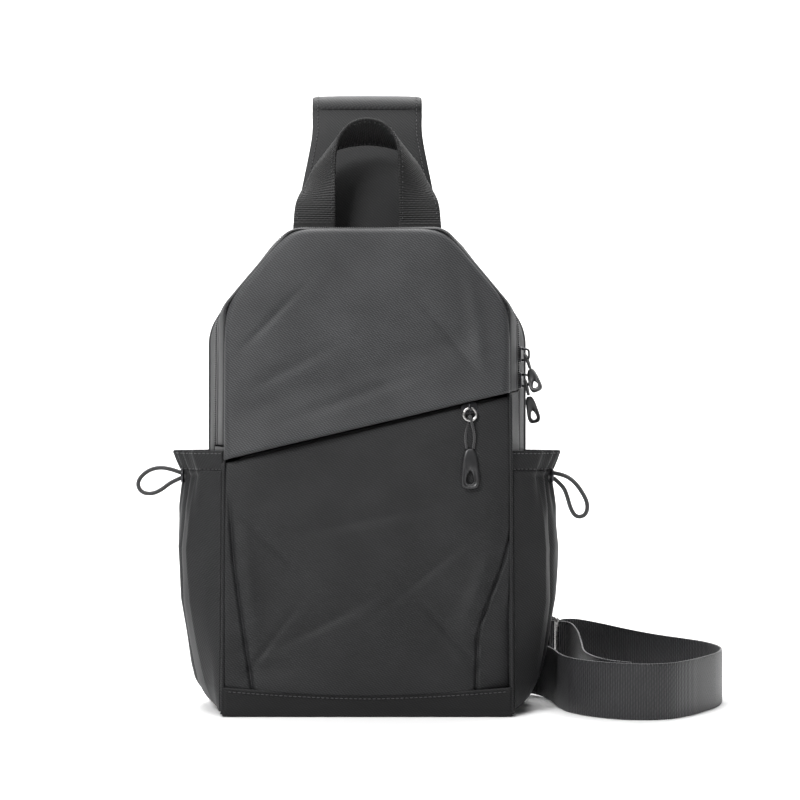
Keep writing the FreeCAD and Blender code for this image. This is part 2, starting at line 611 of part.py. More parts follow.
rise = size("strap_top") - strap_foot
yoke_pairs = [strap_pair(0, yoke_foot_y, strap_foot, yoke_half),
              strap_pair(0, yoke_foot_y + 1, strap_foot + 0.1 * rise, yoke_half * 0.99),
              strap_pair(0, yoke_foot_y + 8, strap_foot + 0.4 * rise, yoke_half * 0.9),
              strap_pair(0, yoke_foot_y + 20, strap_foot + 0.8 * rise, strap_half * 1.01)]
fold_steps = 8
for step in range(fold_steps + 1):
    turn = math.pi * (1 - step / fold_steps)
    yoke_pairs.append(strap_pair(0, fold_y + fold_radius * math.cos(turn),
                                 size("strap_top") + fold_radius * math.sin(turn), strap_half))
fall_y = fold_y + fold_radius
fall_top = size("strap_top") - size("fold_gap")
end_half = size("strap_end_width") / 2
fall_pairs = [strap_pair(0, fall_y, fall_top, strap_half),
              strap_pair(0, fall_y + 3, fall_top - 40, strap_half),
              strap_pair(4, fall_y + 8, fall_top - 110, strap_half * 0.98, 3),
              strap_pair(14, fall_y + 9, fall_top - 180, strap_half * 0.94, 7),
              strap_pair(32, fall_y + 6, fall_top - 245, strap_half * 0.85, 14),
              strap_pair(58, fall_y, fall_top - 300, strap_half * 0.72, 24),
              strap_pair(84, fall_y - 7, fall_top - 338, end_half * 1.12, 36),
              strap_pair(104, fall_y - 11, fall_top - 358, end_half, 48)]
cloth_shift = size("strap_foam") / 2 + size("layer_gap") + size("strap_cloth") / 2
for name, pairs in (("yoke", yoke_pairs), ("strap", fall_pairs)):
    plain(f"{name}_foam", ribbon(pairs, size("strap_foam")))
    plain(f"{name}_outer", ribbon(pairs, size("strap_cloth"), cloth_shift))
    plain(f"{name}_mesh", ribbon(pairs, size("strap_cloth"), -cloth_shift))

# ---------------------------------------------------------------- adjusting webbing on the floor

glide_x = 139
glide_y = 80
glide_frame = 2.4
glide_foot = 9
webbing_foot = glide_foot + glide_frame + size("glide_margin")
slot_step = size("glide_bar") + size("glide_slot")
turn_radius = 0.71 * size("glide_bar") + size("webbing_thick") / 2 + 0.5


def upright_pair(x, y, foot):
    return (Vector(x, y, foot), Vector(x, y, foot + size("webbing_width")))


# from the sewn end round the floor to the tri-glide
loop_route = [(103, 50, 1.2), (114.5, 50.2, 1.2), (121.5, 47, 0.6), (127.5, 35, 0), (131, 14, 0),
              (132.5, -8, 0), (137, -27, 0), (148, -43, 0), (164, -54, 0), (182, -59.5, 0), (199, -56, 0), (213, -44, 0), (227, -26, 0),
              (240, -6, 0), (248.5, 16, 0), (250, 38, 0), (244, 60, 0), (232, 79, 0), (215, 94, 1),
              (195, 102.5, 4), (174, 103.5, 8.5), (157, 97.5, 12), (147.5, 90.5, webbing_foot),
              (143.5, glide_y + turn_radius + 1.6, webbing_foot),
              (glide_x + 2.4, glide_y + turn_radius, webbing_foot)]

# round the middle bar and back out: the short turn inside the tri-glide
turn_route = []
for step in range(7):
    angle = math.radians(90 + 180 * step / 6)
    turn_route.append((glide_x + 0.2 + turn_radius * math.cos(angle), glide_y + turn_radius * math.sin(angle),
                       webbing_foot))
tail_route = [(144, 74.4, webbing_foot), (149.5, 68, 12), (152.5, 54, 8), (152.5, 34, 3),
              (151.5, 12, 0), (152.5, -10, 0), (156.5, -28, 0), (164, -42, 0), (175, -51, 0)]
webbing_pairs = [upright_pair(*point) for point in loop_route + turn_route + tail_route]
plain("adjusting_webbing", ribbon(webbing_pairs, size("webbing_thick")))

# the tri-glide stands on edge, its three bars upright
glide_long = "(3 * Sizes.glide_bar + 2 * Sizes.glide_slot)"
slot_tall = "(Sizes.webbing_width + 2 * Sizes.glide_margin)"


def slot_corners(low):
    high = f"({low} + Sizes.glide_slot)"
    return [(low, f"-{slot_tall} / 2"), (high, f"-{slot_tall} / 2"), (high, f"{slot_tall} / 2"),
            (low, f"{slot_tall} / 2")]


glide = slab("tri_glide",
             [(f"-{glide_long} / 2", f"-({slot_tall} / 2 + {glide_frame})"),
              (f"{glide_long} / 2", f"-({slot_tall} / 2 + {glide_frame})"),
              (f"{glide_long} / 2", f"{slot_tall} / 2 + {glide_frame}"),
              (f"-{glide_long} / 2", f"{slot_tall} / 2 + {glide_frame}")],
             "Sizes.glide_bar", rounds=[(corner, "Sizes.glide_bar") for corner in range(4)],
             cuts=[slot_corners("(-Sizes.glide_bar / 2 - Sizes.glide_slot)"),
                   slot_corners("(Sizes.glide_bar / 2)")])
glide_middle = webbing_foot + size("webbing_width") / 2
glide.Placement = Placement(Vector(glide_x + size("glide_bar") / 2, glide_y, glide_middle),
                            Rotation(Vector(0, 0, 1), 90))

# a folded webbing tab joins the strap's end to the tri-glide's rear bar
rear_bar_y = glide_y + slot_step
bar_reach = 0.71 * size("glide_bar") + size("webbing_thick") / 2 + 0.3
webbing_middle = webbing_foot + size("webbing_width") / 2
webbing_half = size("webbing_width") / 2
end_tab_pairs = [strap_pair(107, fall_y - 12, 62.5, webbing_half, 50),
                 strap_pair(114, fall_y - 13.5, 53, webbing_half, 62),
                 strap_pair(121.5, rear_bar_y + 6.5, 43, webbing_half, 76),
                 strap_pair(129.5, rear_bar_y + 4.2, 35, webbing_half, 87)]
for step in range(7):
    angle = math.radians(90 - 180 * step / 6)
    end_tab_pairs.append(strap_pair(glide_x + bar_reach * math.cos(angle),
                                    rear_bar_y + bar_reach * math.sin(angle), webbing_middle, webbing_half, 90))
end_tab_pairs.append(strap_pair(132, rear_bar_y - 0.8, webbing_middle + 1, webbing_half, 90))
plain("strap_end_tab", ribbon(end_tab_pairs, size("webbing_thick")))

# the webbing's other end is sewn under a patch on the corner of the back panel
box("webbing_anchor", "Sizes.anchor_width", "Sizes.mesh_thick * 2", "Sizes.webbing_width + 4",
    "Sizes.back_width / 2 - 10", "Sizes.bag_depth / 2", "1")

# ---------------------------------------------------------------- grab handle

foot_low = size("bag_height") + size("handle_foot_low")
foot_tall = size("handle_foot_tall")
hinge_height = foot_low + foot_tall + 0.8
foot_outside = size("handle_inside") + size("handle_width")
seat = size("handle_seat")
apex = hinge_height + size("handle_rise")
# inner edge, then outer edge, from a foot to the top of the arch
handle_side = [((size("handle_inside"), seat, hinge_height + 1), (foot_outside, seat, hinge_height + 1)),
               ((size("handle_inside"), seat - 1, hinge_height + 17), (foot_outside - 2, seat + 3, hinge_height + 17)),
               ((size("handle_inside"), seat - 3, apex - 31), (foot_outside - 9.5, seat + 11, apex - 42)),
               ((size("handle_inside") - 1.5, seat - 4, apex - 18), (foot_outside - 14.5, seat + 14, apex - 32)),
               ((size("handle_inside") - 5, seat - 5, apex - 9), (foot_outside - 21, seat + 17, apex - 24)),
               ((size("handle_inside") - 12, seat - 6.5, apex - 2.5), (foot_outside - 33, seat + 19, apex - 17.5)),
               ((0, seat - 7.5, apex), (0, seat + 20, apex - 14.5))]
right_side = [(Vector(*inner), Vector(*outer)) for inner, outer in handle_side]
left_side = [(Vector(-a.x, a.y, a.z), Vector(-b.x, b.y, b.z)) for a, b in right_side[:-1]]
plain("grab_handle", ribbon(right_side + left_side[::-1], size("webbing_thick")))

for name, sign in (("left", -1), ("right", 1)):
    low_x = "-(Sizes.handle_inside + Sizes.handle_width)" if sign < 0 else "Sizes.handle_inside"
    box(f"handle_foot_{name}", "Sizes.handle_width", "Sizes.webbing_thick * 1.5", "Sizes.handle_foot_tall",
        low_x, "Sizes.handle_seat - Sizes.webbing_thick * 0.75", "Sizes.bag_height + Sizes.handle_foot_low")

# ---------------------------------------------------------------- zip sliders, rings and pulls


def slider_shape(crosswise=False):
    """Top plate and bridge: Z along the zip, X out of the cloth, Y across, centred.

    The bridge spans the slider's length, or its width if it is crosswise.
    """
    long = size("slider_long")
    wide = size("slider_wide")
    plate = size("slider_plate")
    bar = size("bridge_bar")
    body = Part.makeBox(plate, wide, long, Vector(0, -wide / 2, -long / 2))
    corners = [edge for edge in body.Edges if abs(edge.tangentAt(0).x) > 0.9]
    body = body.makeFillet(wide / 4, corners)
    tall = size("bridge_rise") + bar
    span = (wide if crosswise else long) - 2
    across = size("bridge_wide")
    bridge = Part.makeBox(tall, across, span, Vector(plate, -across / 2, -span / 2))
    opening = Part.makeBox(size("bridge_rise"), 2 * across, span - 2 * bar, Vector(plate, -across, -span / 2 + bar))
    bridge = bridge.cut(opening)
    if crosswise:
        bridge = bridge.rotated(Vector(), Vector(1, 0, 0), 90)
    return body.fuse(bridge).removeSplitter()


def side_placement(height):
    """On the right side of the main zip: X out of the cloth, Z up the zip."""
    here = wall_x(zip_y, height)
    slope = math.degrees(math.atan(wall_x(zip_y + 1, height) - here))
    lift = size("teeth_proud") + size("slider_clear")
    turn = Rotation(Vector(0, 0, 1), -slope)
    return Placement(Vector(here, zip_y, height), turn).multiply(Placement(Vector(lift, 0, 0), Rotation()))


def tab_shape(scale):
    """A tapered rubber tab that hangs down from the origin, with a finger hole near its end."""
    long = size("tab_long") * scale
    top = size("tab_top") * scale / 2
    end = size("tab_end") * scale / 2
    thick = size("tab_thick") * scale
    hole = size("tab_hole") * scale
    near = -thick / 2
    corners = [Vector(-top, near, 0), Vector(top, near, 0), Vector(end, near, -long), Vector(-end, near, -long)]
    solid = Part.Face(Part.makePolygon(corners + corners[:1])).extrude(Vector(0, thick, 0))
    uprights = [edge for edge in solid.Edges if abs(edge.tangentAt(0).y) > 0.9]
    solid = solid.makeFillet(0.7 * top, uprights)
    bore = Part.makeCylinder(hole / 2, 3 * thick, Vector(0, -thick, -long + 0.8 * hole), Vector(0, 1, 0))
    return solid.cut(bore)


cord_radius = size("pull_cord") / 2
bridge_middle = size("slider_plate") + size("bridge_rise") / 2
leg = size("main_pull_drop")
for name in ("upper", "lower"):
    place = side_placement(size(f"{name}_slider"))
    plain(f"{name}_slider", slider_shape(), place)
    # the cord goes level under the bridge, then in two legs down, out and aside to its tab
    lean = Rotation(Vector(0, 1, 0), -size(f"{name}_pull_lean"))
    fan = Rotation(Vector(1, 0, 0), -size(f"{name}_pull_fan"))
    aside = math.tan(math.radians(size(f"{name}_pull_fan")))
    hang = place.multiply(Placement(Vector(bridge_middle, 0, 0), lean))
    straight = 0.5 * leg
    legs = [(-1.6, -leg), (-2.7, -leg * 0.74), (-4, -straight), (-3.6, 0.2), (3.6, 0.2),
            (4, -straight), (2.7, -leg * 0.74), (1.6, -leg)]
    tube = cord(f"{name}_pull_cord", [Vector(0, y + aside * min(z + straight, 0), z) for y, z in legs], size("pull_cord"))
    plain(f"{name}_pull_cord", tube, hang)
    tab_drop = leg + 0.9
    sideways = Placement(Vector(0, aside * (straight - tab_drop), -tab_drop), fan.multiply(Rotation(Vector(0, 0, 1), 90)))
    plain(f"{name}_pull_tab", tab_shape(size("main_tab_scale")), hang.multiply(sideways))

# the front slider lies on its zip, with X out of the cloth turned to face the front
slider_depth = -size("slider_clear")
slider_up = zip_bottom + size("front_tape_width") / 2
slider_place = diagonal_placement(size("front_slider"), slider_up, slider_depth)
lie_flat = Rotation(Vector(0, -1, 0), Vector(0, 0, -1), Vector(1, 0, 0), "XYZ")
plain("front_slider", slider_shape(crosswise=True), slider_place.multiply(Placement(Vector(), lie_flat)))

# the ring hangs through the bridge, and the pull's cord hangs on the ring; both hang plumb
ring_depth = -(size("slider_plate") + size("bridge_rise") / 2)
ring_top = slider_place.multVec(Vector(0, ring_depth, 0))
plumb = Rotation(Vector(1, 0, 0), -size("front_lean"))
ring_middle = Placement(ring_top, plumb).multVec(Vector(0, 0, -size("ring_radius")))
ring = doc.addObject("Part::Torus", "front_ring")
ring.setExpression("Radius1", "Sizes.ring_radius")
ring.setExpression("Radius2", "Sizes.ring_wire")
ring.Placement = Placement(ring_middle, plumb.multiply(Rotation(Vector(1, 0, 0), 90)))
keep("front_ring", ring)
ring_bottom = Placement(ring_top, plumb).multVec(Vector(0, 0, -2 * size("ring_radius")))
drop = size("front_pull_drop")
wrap = size("ring_wire") + cord_radius + 0.5
front_legs = [(-2.2, 0, -drop), (-3, 0.3, -drop * 0.7), (-2.8, 1.1, -drop * 0.42), (-1.4, wrap, -drop * 0.16),
              (-0.3, wrap, wrap * 1.35), (0.3, -wrap, wrap * 1.35), (1.4, -wrap, -drop * 0.16),
              (2.8, -1.1, -drop * 0.42), (3, -0.3, -drop * 0.7), (2.2, 0, -drop)]
tube = cord("front_pull_cord", [Vector(*point) for point in front_legs], size("pull_cord"))
plain("front_pull_cord", tube, Placement(ring_bottom, plumb))
plain("front_pull_tab", tab_shape(1),
      Placement(ring_bottom, plumb).multiply(Placement(Vector(0, 0, -drop), Rotation())))

# ---------------------------------------------------------------- check and write

doc.recompute()
for obj in doc.Objects:
    if "Invalid" in obj.State or "Error" in obj.State:
        raise ValueError(f"{obj.Label} did not build: {obj.State}")
for name, obj in parts.items():
    if obj.Shape.isNull() or not obj.Shape.isValid() or obj.Shape.Volume < 0.01:
        raise ValueError(f"{name} has no sound shape")
    if not obj.Shape.Solids:
        raise ValueError(f"{name} is not solid")
os.makedirs("parts", exist_ok=True)
for name, obj in parts.items():
    obj.Shape.exportStep(f"parts/{name}.step")
print(f"{len(parts)} sub-parts written")
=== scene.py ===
import json
import math
import bpy
import numpy as np
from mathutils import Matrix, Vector


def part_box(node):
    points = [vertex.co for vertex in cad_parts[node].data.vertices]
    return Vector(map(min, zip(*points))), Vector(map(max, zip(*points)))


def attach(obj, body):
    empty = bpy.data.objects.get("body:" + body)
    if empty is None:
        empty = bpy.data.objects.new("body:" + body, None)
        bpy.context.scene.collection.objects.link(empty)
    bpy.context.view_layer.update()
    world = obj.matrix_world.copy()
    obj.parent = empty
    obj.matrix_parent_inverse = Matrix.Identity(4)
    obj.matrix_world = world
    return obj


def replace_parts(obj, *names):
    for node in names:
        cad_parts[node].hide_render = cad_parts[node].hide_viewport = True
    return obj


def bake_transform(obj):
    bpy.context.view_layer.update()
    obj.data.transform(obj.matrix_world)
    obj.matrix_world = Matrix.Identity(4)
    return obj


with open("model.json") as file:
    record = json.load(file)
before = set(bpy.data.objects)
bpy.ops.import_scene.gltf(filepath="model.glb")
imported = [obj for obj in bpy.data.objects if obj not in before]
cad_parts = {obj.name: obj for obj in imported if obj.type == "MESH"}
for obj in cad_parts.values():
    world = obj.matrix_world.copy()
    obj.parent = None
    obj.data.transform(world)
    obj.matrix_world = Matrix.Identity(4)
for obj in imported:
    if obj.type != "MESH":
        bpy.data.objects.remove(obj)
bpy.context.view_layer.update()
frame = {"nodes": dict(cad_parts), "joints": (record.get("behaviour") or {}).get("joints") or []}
mm = 0.001

# camera, floor and light

view = {
    "place": (0.0, -1.198, 0.195),  # level with the middle of the bag
    "lens": 77.8,
    "shift": (0.041, 0.031),
    "floorTone": 0.80,
    "skyTone": 1.0,
    "skyStrength": 0.10,
}

cameraData = bpy.data.cameras.new("camera")
cameraData.lens = view["lens"]
cameraData.sensor_width = 36
cameraData.shift_x, cameraData.shift_y = view["shift"]
camera = bpy.data.objects.new("camera", cameraData)
camera.location = view["place"]
camera.rotation_euler = (math.pi / 2, 0, 0)
bpy.context.collection.objects.link(camera)
bpy.context.scene.camera = camera
bpy.context.scene.view_settings.view_transform = "Standard"


# shader maths

class Field:
    # a socket that adds Math nodes when it meets an operator
    def __init__(self, finish, socket):
        self.finish = finish
        self.socket = socket

    def join(self, operation, other=None, swap=False):
        values = [self] if other is None else [self, other]
        return self.finish.node("ShaderNodeMath", {"operation": operation}, values[::-1] if swap else values)

    def __add__(self, other):
        return self.join("ADD", other)

    def __radd__(self, other):
        return self.join("ADD", other, True)

    def __sub__(self, other):
        return self.join("SUBTRACT", other)

    def __rsub__(self, other):
        return self.join("SUBTRACT", other, True)

    def __mul__(self, other):
        return self.join("MULTIPLY", other)

    def __rmul__(self, other):
        return self.join("MULTIPLY", other, True)

    def __truediv__(self, other):
        return self.join("DIVIDE", other)

    def __rtruediv__(self, other):
        return self.join("DIVIDE", other, True)

    def __pow__(self, other):
        return self.join("POWER", other)

    def cos(self):
        return self.join("COSINE")

    def abs(self):
        return self.join("ABSOLUTE")

    def clip(self):
        return self.finish.node("ShaderNodeClamp", {}, [self])

    def wave(self):
        return (self * math.tau).cos() * 0.5 + 0.5



class Finish:
    # a material with one Principled shader
    def __init__(self, name, colour, roughness, **fixed):
        self.material = bpy.data.materials.new(name)
        self.material.use_nodes = True
        self.tree = self.material.node_tree
        self.shader = next(n for n in self.tree.nodes if n.type == "BSDF_PRINCIPLED")
        self.shader.inputs["Base Color"].default_value = (*colour, 1)
        self.shader.inputs["Roughness"].default_value = roughness
        self.material.diffuse_color = (*colour, 1)
        for socket, value in fixed.items():
            self.shader.inputs[socket.replace("_", " ")].default_value = value

    def node(self, kind, settings, inputs, out=0):
        made = self.tree.nodes.new(kind)
        for key, value in settings.items():
            if key == "stops":
                while len(made.color_ramp.elements) < len(value):
                    made.color_ramp.elements.new(0.5)
                for element, (place, colour) in zip(made.color_ramp.elements, value):
                    element.position = place
                    element.color = (*colour, 1)
            else:
                setattr(made, key, value)
        pairs = inputs.items() if isinstance(inputs, dict) else enumerate(inputs)
        for key, value in pairs:
            if isinstance(value, Field):
                self.tree.links.new(value.socket, made.inputs[key])
            else:
                made.inputs[key].default_value = value
        return Field(self, made.outputs[out])

    def place(self, ownMap):
        if ownMap:
            return self.node("ShaderNodeUVMap", {"uv_map": "UVMap"}, [])
        return self.node("ShaderNodeTexCoord", {}, [], "Object")

    def parts(self, vector):
        made = self.tree.nodes.new("ShaderNodeSeparateXYZ")
        self.tree.links.new(vector.socket, made.inputs[0])
        return [Field(self, made.outputs[k]) for k in range(3)]

    def noise(self, vector, scale, detail=3.0, rough=0.5):
        return self.node("ShaderNodeTexNoise", {}, {"Vector": vector, "Scale": scale, "Detail": detail,
                                                    "Roughness": rough})

    def feed(self, socket, value):
        self.tree.links.new(value.socket, self.shader.inputs[socket])

    def tint(self, mask, stops):
        self.feed("Base Color", self.node("ShaderNodeValToRGB", {"stops": stops}, [mask]))

    def shade(self, mask, colour, low, middle, high):
        # low and high are (place on the ramp, share of the colour there)
        self.tint(mask, [(low[0], scaled(colour, low[1])), (middle, colour),
                         (high[0], scaled(colour, high[1]))])

    def bump(self, height, strength, depth):
        self.feed("Normal", self.node("ShaderNodeBump", {}, {"Height": height, "Strength": strength,
                                                            "Distance": depth}))


def scaled(colour, share):
    return tuple(channel * share for channel in colour)


# finishes

clothLook = {
    "colour": (0.031, 0.0315, 0.033),
    "grainAcross": 2.1 * mm,  # one grain of the twill
    "grainUp": 1.25 * mm,
    "roughness": 0.56,
}


def coatedTwill(name, look, share=1.0, depth=0.00016):
    # slanting grains: the product of two cosine waves that cross at a low angle
    # share scales the cloth's colour; a share below one makes a darker copy, which is painted shade
    colour = scaled(look["colour"], share)
    made = Finish(name, colour, look["roughness"], Specular_IOR_Level=0.22, Sheen_Weight=0.03,
                  Sheen_Roughness=0.45, Sheen_Tint=(0.75, 0.77, 0.8, 1))
    place = made.place(True)
    across, up, _ = made.parts(place)
    first = (across / look["grainAcross"] + up / (look["grainUp"] * 2)).wave()
    second = (across / (look["grainAcross"] * -2) + up / look["grainUp"]).wave()
    grain = first * 0.45 + second * 0.55
    cloud = made.noise(place, 26, 4, 0.55)
    fine = made.noise(place, 900, 2, 0.6)
    mask = grain * 0.5 + cloud * 0.3 + fine * 0.2
    made.shade(mask, colour, (0.24, 0.42), 0.5, (0.78, 2.0))
    made.feed("Roughness", (look["roughness"] - 0.07) + cloud * 0.12 + grain * -0.05 + fine * 0.06)
    made.bump(grain + fine * 0.25, 0.75, depth)
    return made.material


def ribbedWebbing(name, colour, rib, roughness):
    # ribs across the band, broken by the warp that binds them
    made = Finish(name, colour, roughness, Specular_IOR_Level=0.4, Sheen_Weight=0.03, Sheen_Roughness=0.4)
    place = made.place(True)
    across, along, _ = made.parts(place)
    ribs = (along / rib).wave()
    binding = (across / (rib * 2.1) + along / (rib * 2)).wave()
    fibre = made.noise(place, 1400, 2, 0.6)
    cloud = made.noise(place, 35, 3, 0.5)
    height = ribs * 0.62 + ribs * binding * 0.38
    made.shade(height * 0.5 + fibre * 0.25 + cloud * 0.25, colour, (0.2, 0.45), 0.5, (0.82, 2.3))
    made.feed("Roughness", (roughness - 0.08) + fibre * 0.14 + (1 - ribs) * 0.12)
    made.bump(height + fibre * 0.2, 0.9, 0.0004)
    return made.material


def spacerMesh(name, colour):
    # open mesh: round holes in staggered rows
    made = Finish(name, colour, 0.78, Sheen_Weight=0.25, Sheen_Roughness=0.5)
    place = made.place(True)
    holes = made.node("ShaderNodeTexVoronoi", {}, {"Vector": place, "Scale": 360, "Randomness": 0.28})
    fibre = made.noise(place, 1500, 2, 0.6)
    rim = (holes * 1.9).clip()
    made.shade(rim * 0.8 + fibre * 0.2, colour, (0.15, 0.25), 0.45, (0.9, 1.9))
    made.feed("Roughness", 0.7 + fibre * 0.2)
    made.bump(rim + fibre * 0.2, 0.9, 0.0007)
    return made.material


def plainWeave(name, colour, pitch, roughness=0.7, ownMap=True):
    # over and under: two waves at right angles
    made = Finish(name, colour, roughness, Sheen_Weight=0.15)
    place = made.place(ownMap)
    across, up, deep = made.parts(place)
    if not ownMap:
        up = up + deep
    weave = (across / pitch).wave() * 0.5 + (up / pitch).wave() * 0.5
    cloud = made.noise(place, 60, 3, 0.5)
    made.shade(weave * 0.6 + cloud * 0.4, colour, (0.2, 0.6), 0.5, (0.85, 1.6))
    made.feed("Roughness", (roughness - 0.05) + cloud * 0.12)
    made.bump(weave, 0.6, 0.00018)
    return made.material


def mouldedRubber(name, colour, roughness=0.33):
    made = Finish(name, colour, roughness, Specular_IOR_Level=0.6)
    place = made.place(False)
    skin = made.noise(place, 2600, 3, 0.55)
    wear = made.noise(place, 120, 3, 0.6)
    made.shade(wear * 0.7 + skin * 0.3, colour, (0.3, 0.7), 0.55, (0.8, 1.8))
    made.feed("Roughness", (roughness - 0.08) + wear * 0.22 + skin * 0.04)
    made.bump(skin, 0.25, 0.00006)
    return made.material


def platedMetal(name, colour, roughness):
    made = Finish(name, colour, roughness, Metallic=1.0)
    place = made.place(False)
    smear = made.noise(place, 180, 4, 0.6)
    scratch = made.node("ShaderNodeTexNoise", {"noise_dimensions": "3D"}, {"Vector": place, "Scale": 2400,
                                                                           "Detail": 1.0, "Distortion": 2.5})
    made.shade(smear, colour, (0.25, 0.72), 0.5, (0.8, 1.15))
    made.feed("Roughness", (roughness - 0.08) + smear * 0.18 + scratch * 0.06)
    made.bump(scratch, 0.12, 0.00004)
    return made.material


def braidedCord(name, colour, radius):
    # strands wind both ways round the cord: along plus and minus around
    made = Finish(name, colour, 0.55, Sheen_Weight=0.2)
    place = made.place(True)
    around, along, _ = made.parts(place)
    turns = 5.0 / (math.tau * radius)
    oneWay = (around * turns + along / (radius * 1.5)).wave()
    otherWay = (around * turns - along / (radius * 1.5)).wave()
    fibre = made.noise(place, 3000, 2, 0.6)
    height = oneWay.join("MAXIMUM", otherWay)
    made.shade(height * 0.7 + fibre * 0.3, colour, (0.35, 0.4), 0.7, (0.95, 2.6))
    made.feed("Roughness", 0.42 + fibre * 0.25)
    made.bump(height + fibre * 0.2, 1.0, 0.0003)
    return made.material


black = (0.012, 0.012, 0.013)
twill = coatedTwill("charcoalTwill", clothLook)
# darker copies of the one charcoal cloth: the shares 0.42, 0.36, 0.36 and 0.2 are painted shade on the lower
# front, the sides, the strap and the boot, set for how the light falls on each, not a different dye
twillLowPaintedShade = coatedTwill("charcoalTwillLowPaintedShade", clothLook, 0.42)
twillSidePaintedShade = coatedTwill("charcoalTwillSidePaintedShade", clothLook, 0.36)
twillStrapPaintedShade = coatedTwill("charcoalTwillStrapPaintedShade", clothLook, 0.36)
twillBootPaintedShade = coatedTwill("charcoalTwillBootPaintedShade", clothLook, 0.2, 0.0001)
floorWebbing = ribbedWebbing("blackWebbing", (0.016, 0.016, 0.0175), 1.7 * mm, 0.36)
handleWebbing = ribbedWebbing("handleWebbing", (0.0045, 0.0045, 0.0047), 1.6 * mm, 0.55)
meshCloth = spacerMesh("spacerMesh", (0.026, 0.026, 0.028))
tapeCloth = plainWeave("zipTape", (0.014, 0.014, 0.015), 0.7 * mm)
liningCloth = plainWeave("lining", (0.045, 0.045, 0.048), 0.5 * mm, ownMap=False)
threadCloth = plainWeave("thread", (0.028, 0.028, 0.030), 0.25 * mm, 0.5, ownMap=False)
boardSkin = mouldedRubber("stiffener", (0.07, 0.07, 0.07), 0.6)
rubberSkin = mouldedRubber("pullRubber", black)
teethSkin = mouldedRubber("zipCoil", (0.018, 0.018, 0.019), 0.3)
darkMetal = platedMetal("blackPlate", (0.06, 0.06, 0.064), 0.36)
brightMetal = platedMetal("nickelPlate", (0.56, 0.55, 0.54), 0.24)
cordSkin = braidedCord("elasticCord", black, 1.5 * mm)
pullSkin = braidedCord("pullCord", black, 0.9 * mm)
print("finishes ready")


# shapes

def unit(vectors):
    length = np.linalg.norm(vectors, axis=-1, keepdims=True)
    return vectors / np.maximum(length, 1e-12)


def meshPiece(name, points, faces, uv, material, smooth=True):
    # points (n, 3) and uv (n, 2) are arrays; faces are rows of corner numbers
    data = bpy.data.meshes.new(name)
    data.from_pydata(points.tolist(), [], [list(face) for face in faces])
    uvLayer = data.uv_layers.new(name="UVMap")
    corners = np.empty(len(data.loops), np.int32)
    data.loops.foreach_get("vertex_index", corners)
    uvLayer.data.foreach_set("uv", uv[corners].ravel())
    data.polygons.foreach_set("use_smooth", np.full(len(data.polygons), smooth))
    data.materials.append(material)
    data.validate()
    data.update()
    piece = bpy.data.objects.new(name, data)
    bpy.context.collection.objects.link(piece)
    return piece


def sewOn(piece, carrier, slot, *nodes):
    # carrier is the body it rides on, or None where that is already set or it is blended
    if carrier:
        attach(piece, carrier)
    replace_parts(piece, *nodes)


def cornersOf(node):
    return [np.array(corner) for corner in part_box(node)]


def gridFaces(rows, columns, closed=False, flip=False):
    # quads of a grid; closed joins the last column to the first
    index = np.arange(rows * columns).reshape(rows, columns)
    if closed:
        index = np.concatenate([index, index[:, :1]], 1)
    quads = np.stack([index[:-1, :-1], index[:-1, 1:], index[1:, 1:], index[1:, :-1]], -1).reshape(-1, 4)
    return quads[:, ::-1] if flip else quads


def gridNormals(grid):
    return unit(np.cross(np.gradient(grid, axis=1), np.gradient(grid, axis=0)))


def lengthsAlong(grid, axis):
    # mean running length along an axis of the grid
    step = np.linalg.norm(np.diff(grid, axis=axis), axis=-1)
    run = np.concatenate([[0], np.cumsum(step.mean(axis=1 - axis))])
    return run


def gridPiece(name, grid, material, uv=None, closed=False, flip=False, wall=0.0):
    rows, columns = grid.shape[:2]
    if uv is None:
        uv = np.stack(np.meshgrid(lengthsAlong(grid, 1), lengthsAlong(grid, 0)), -1)
    faces = gridFaces(rows, columns, closed, flip)
    piece = meshPiece(name, grid.reshape(-1, 3), faces, uv.reshape(-1, 2), material)
    if wall:
        solid = piece.modifiers.new("wall", "SOLIDIFY")
        solid.thickness = wall
        solid.offset = -1
    return piece


def soft(first, second, seed, waves=6):
    # smooth folds: a sum of slow cosine waves in many directions
    draw = np.random.default_rng(seed)
    total = 0
    for _ in range(waves):
        turn, pace, phase = draw.uniform(0, math.tau), draw.uniform(0.6, 1.8), draw.uniform(0, math.tau)
        total = total + np.cos((first * math.cos(turn) + second * math.sin(turn)) * pace + phase)
    return total / waves


def resample(path, count):
    # points at equal distances along a polyline
    run = np.concatenate([[0], np.cumsum(np.linalg.norm(np.diff(path, axis=0), axis=1))])
    want = np.linspace(0, run[-1], count)
    return np.stack([np.interp(want, run, path[:, k]) for k in range(path.shape[1])], 1)


def smoothRows(keys, count):
    # Catmull-Rom curve through key rows: the cubic through each pair with slopes from their neighbours
    keys = np.asarray(keys, float)
    padded = np.concatenate([2 * keys[:1] - keys[1:2], keys, 2 * keys[-1:] - keys[-2:-1]])
    flat = padded.reshape(len(padded), -1)
    middle = keys.reshape(len(keys), -1)[:, :3]
    run = np.concatenate([[0], np.cumsum(np.linalg.norm(np.diff(middle, axis=0), axis=1))])
    want = np.linspace(0, run[-1], count)
    cell = np.clip(np.searchsorted(run, want, side="right") - 1, 0, len(keys) - 2)
    t = ((want - run[cell]) / (run[cell + 1] - run[cell]))[:, None]
    a, b, c, d = (flat[cell + k] for k in range(4))
    curve = 0.5 * (2 * b + (c - a) * t + (2 * a - 5 * b + 4 * c - d) * t ** 2
                   + (3 * b - a - 3 * c + d) * t ** 3)
    return curve.reshape(count, *keys.shape[1:])


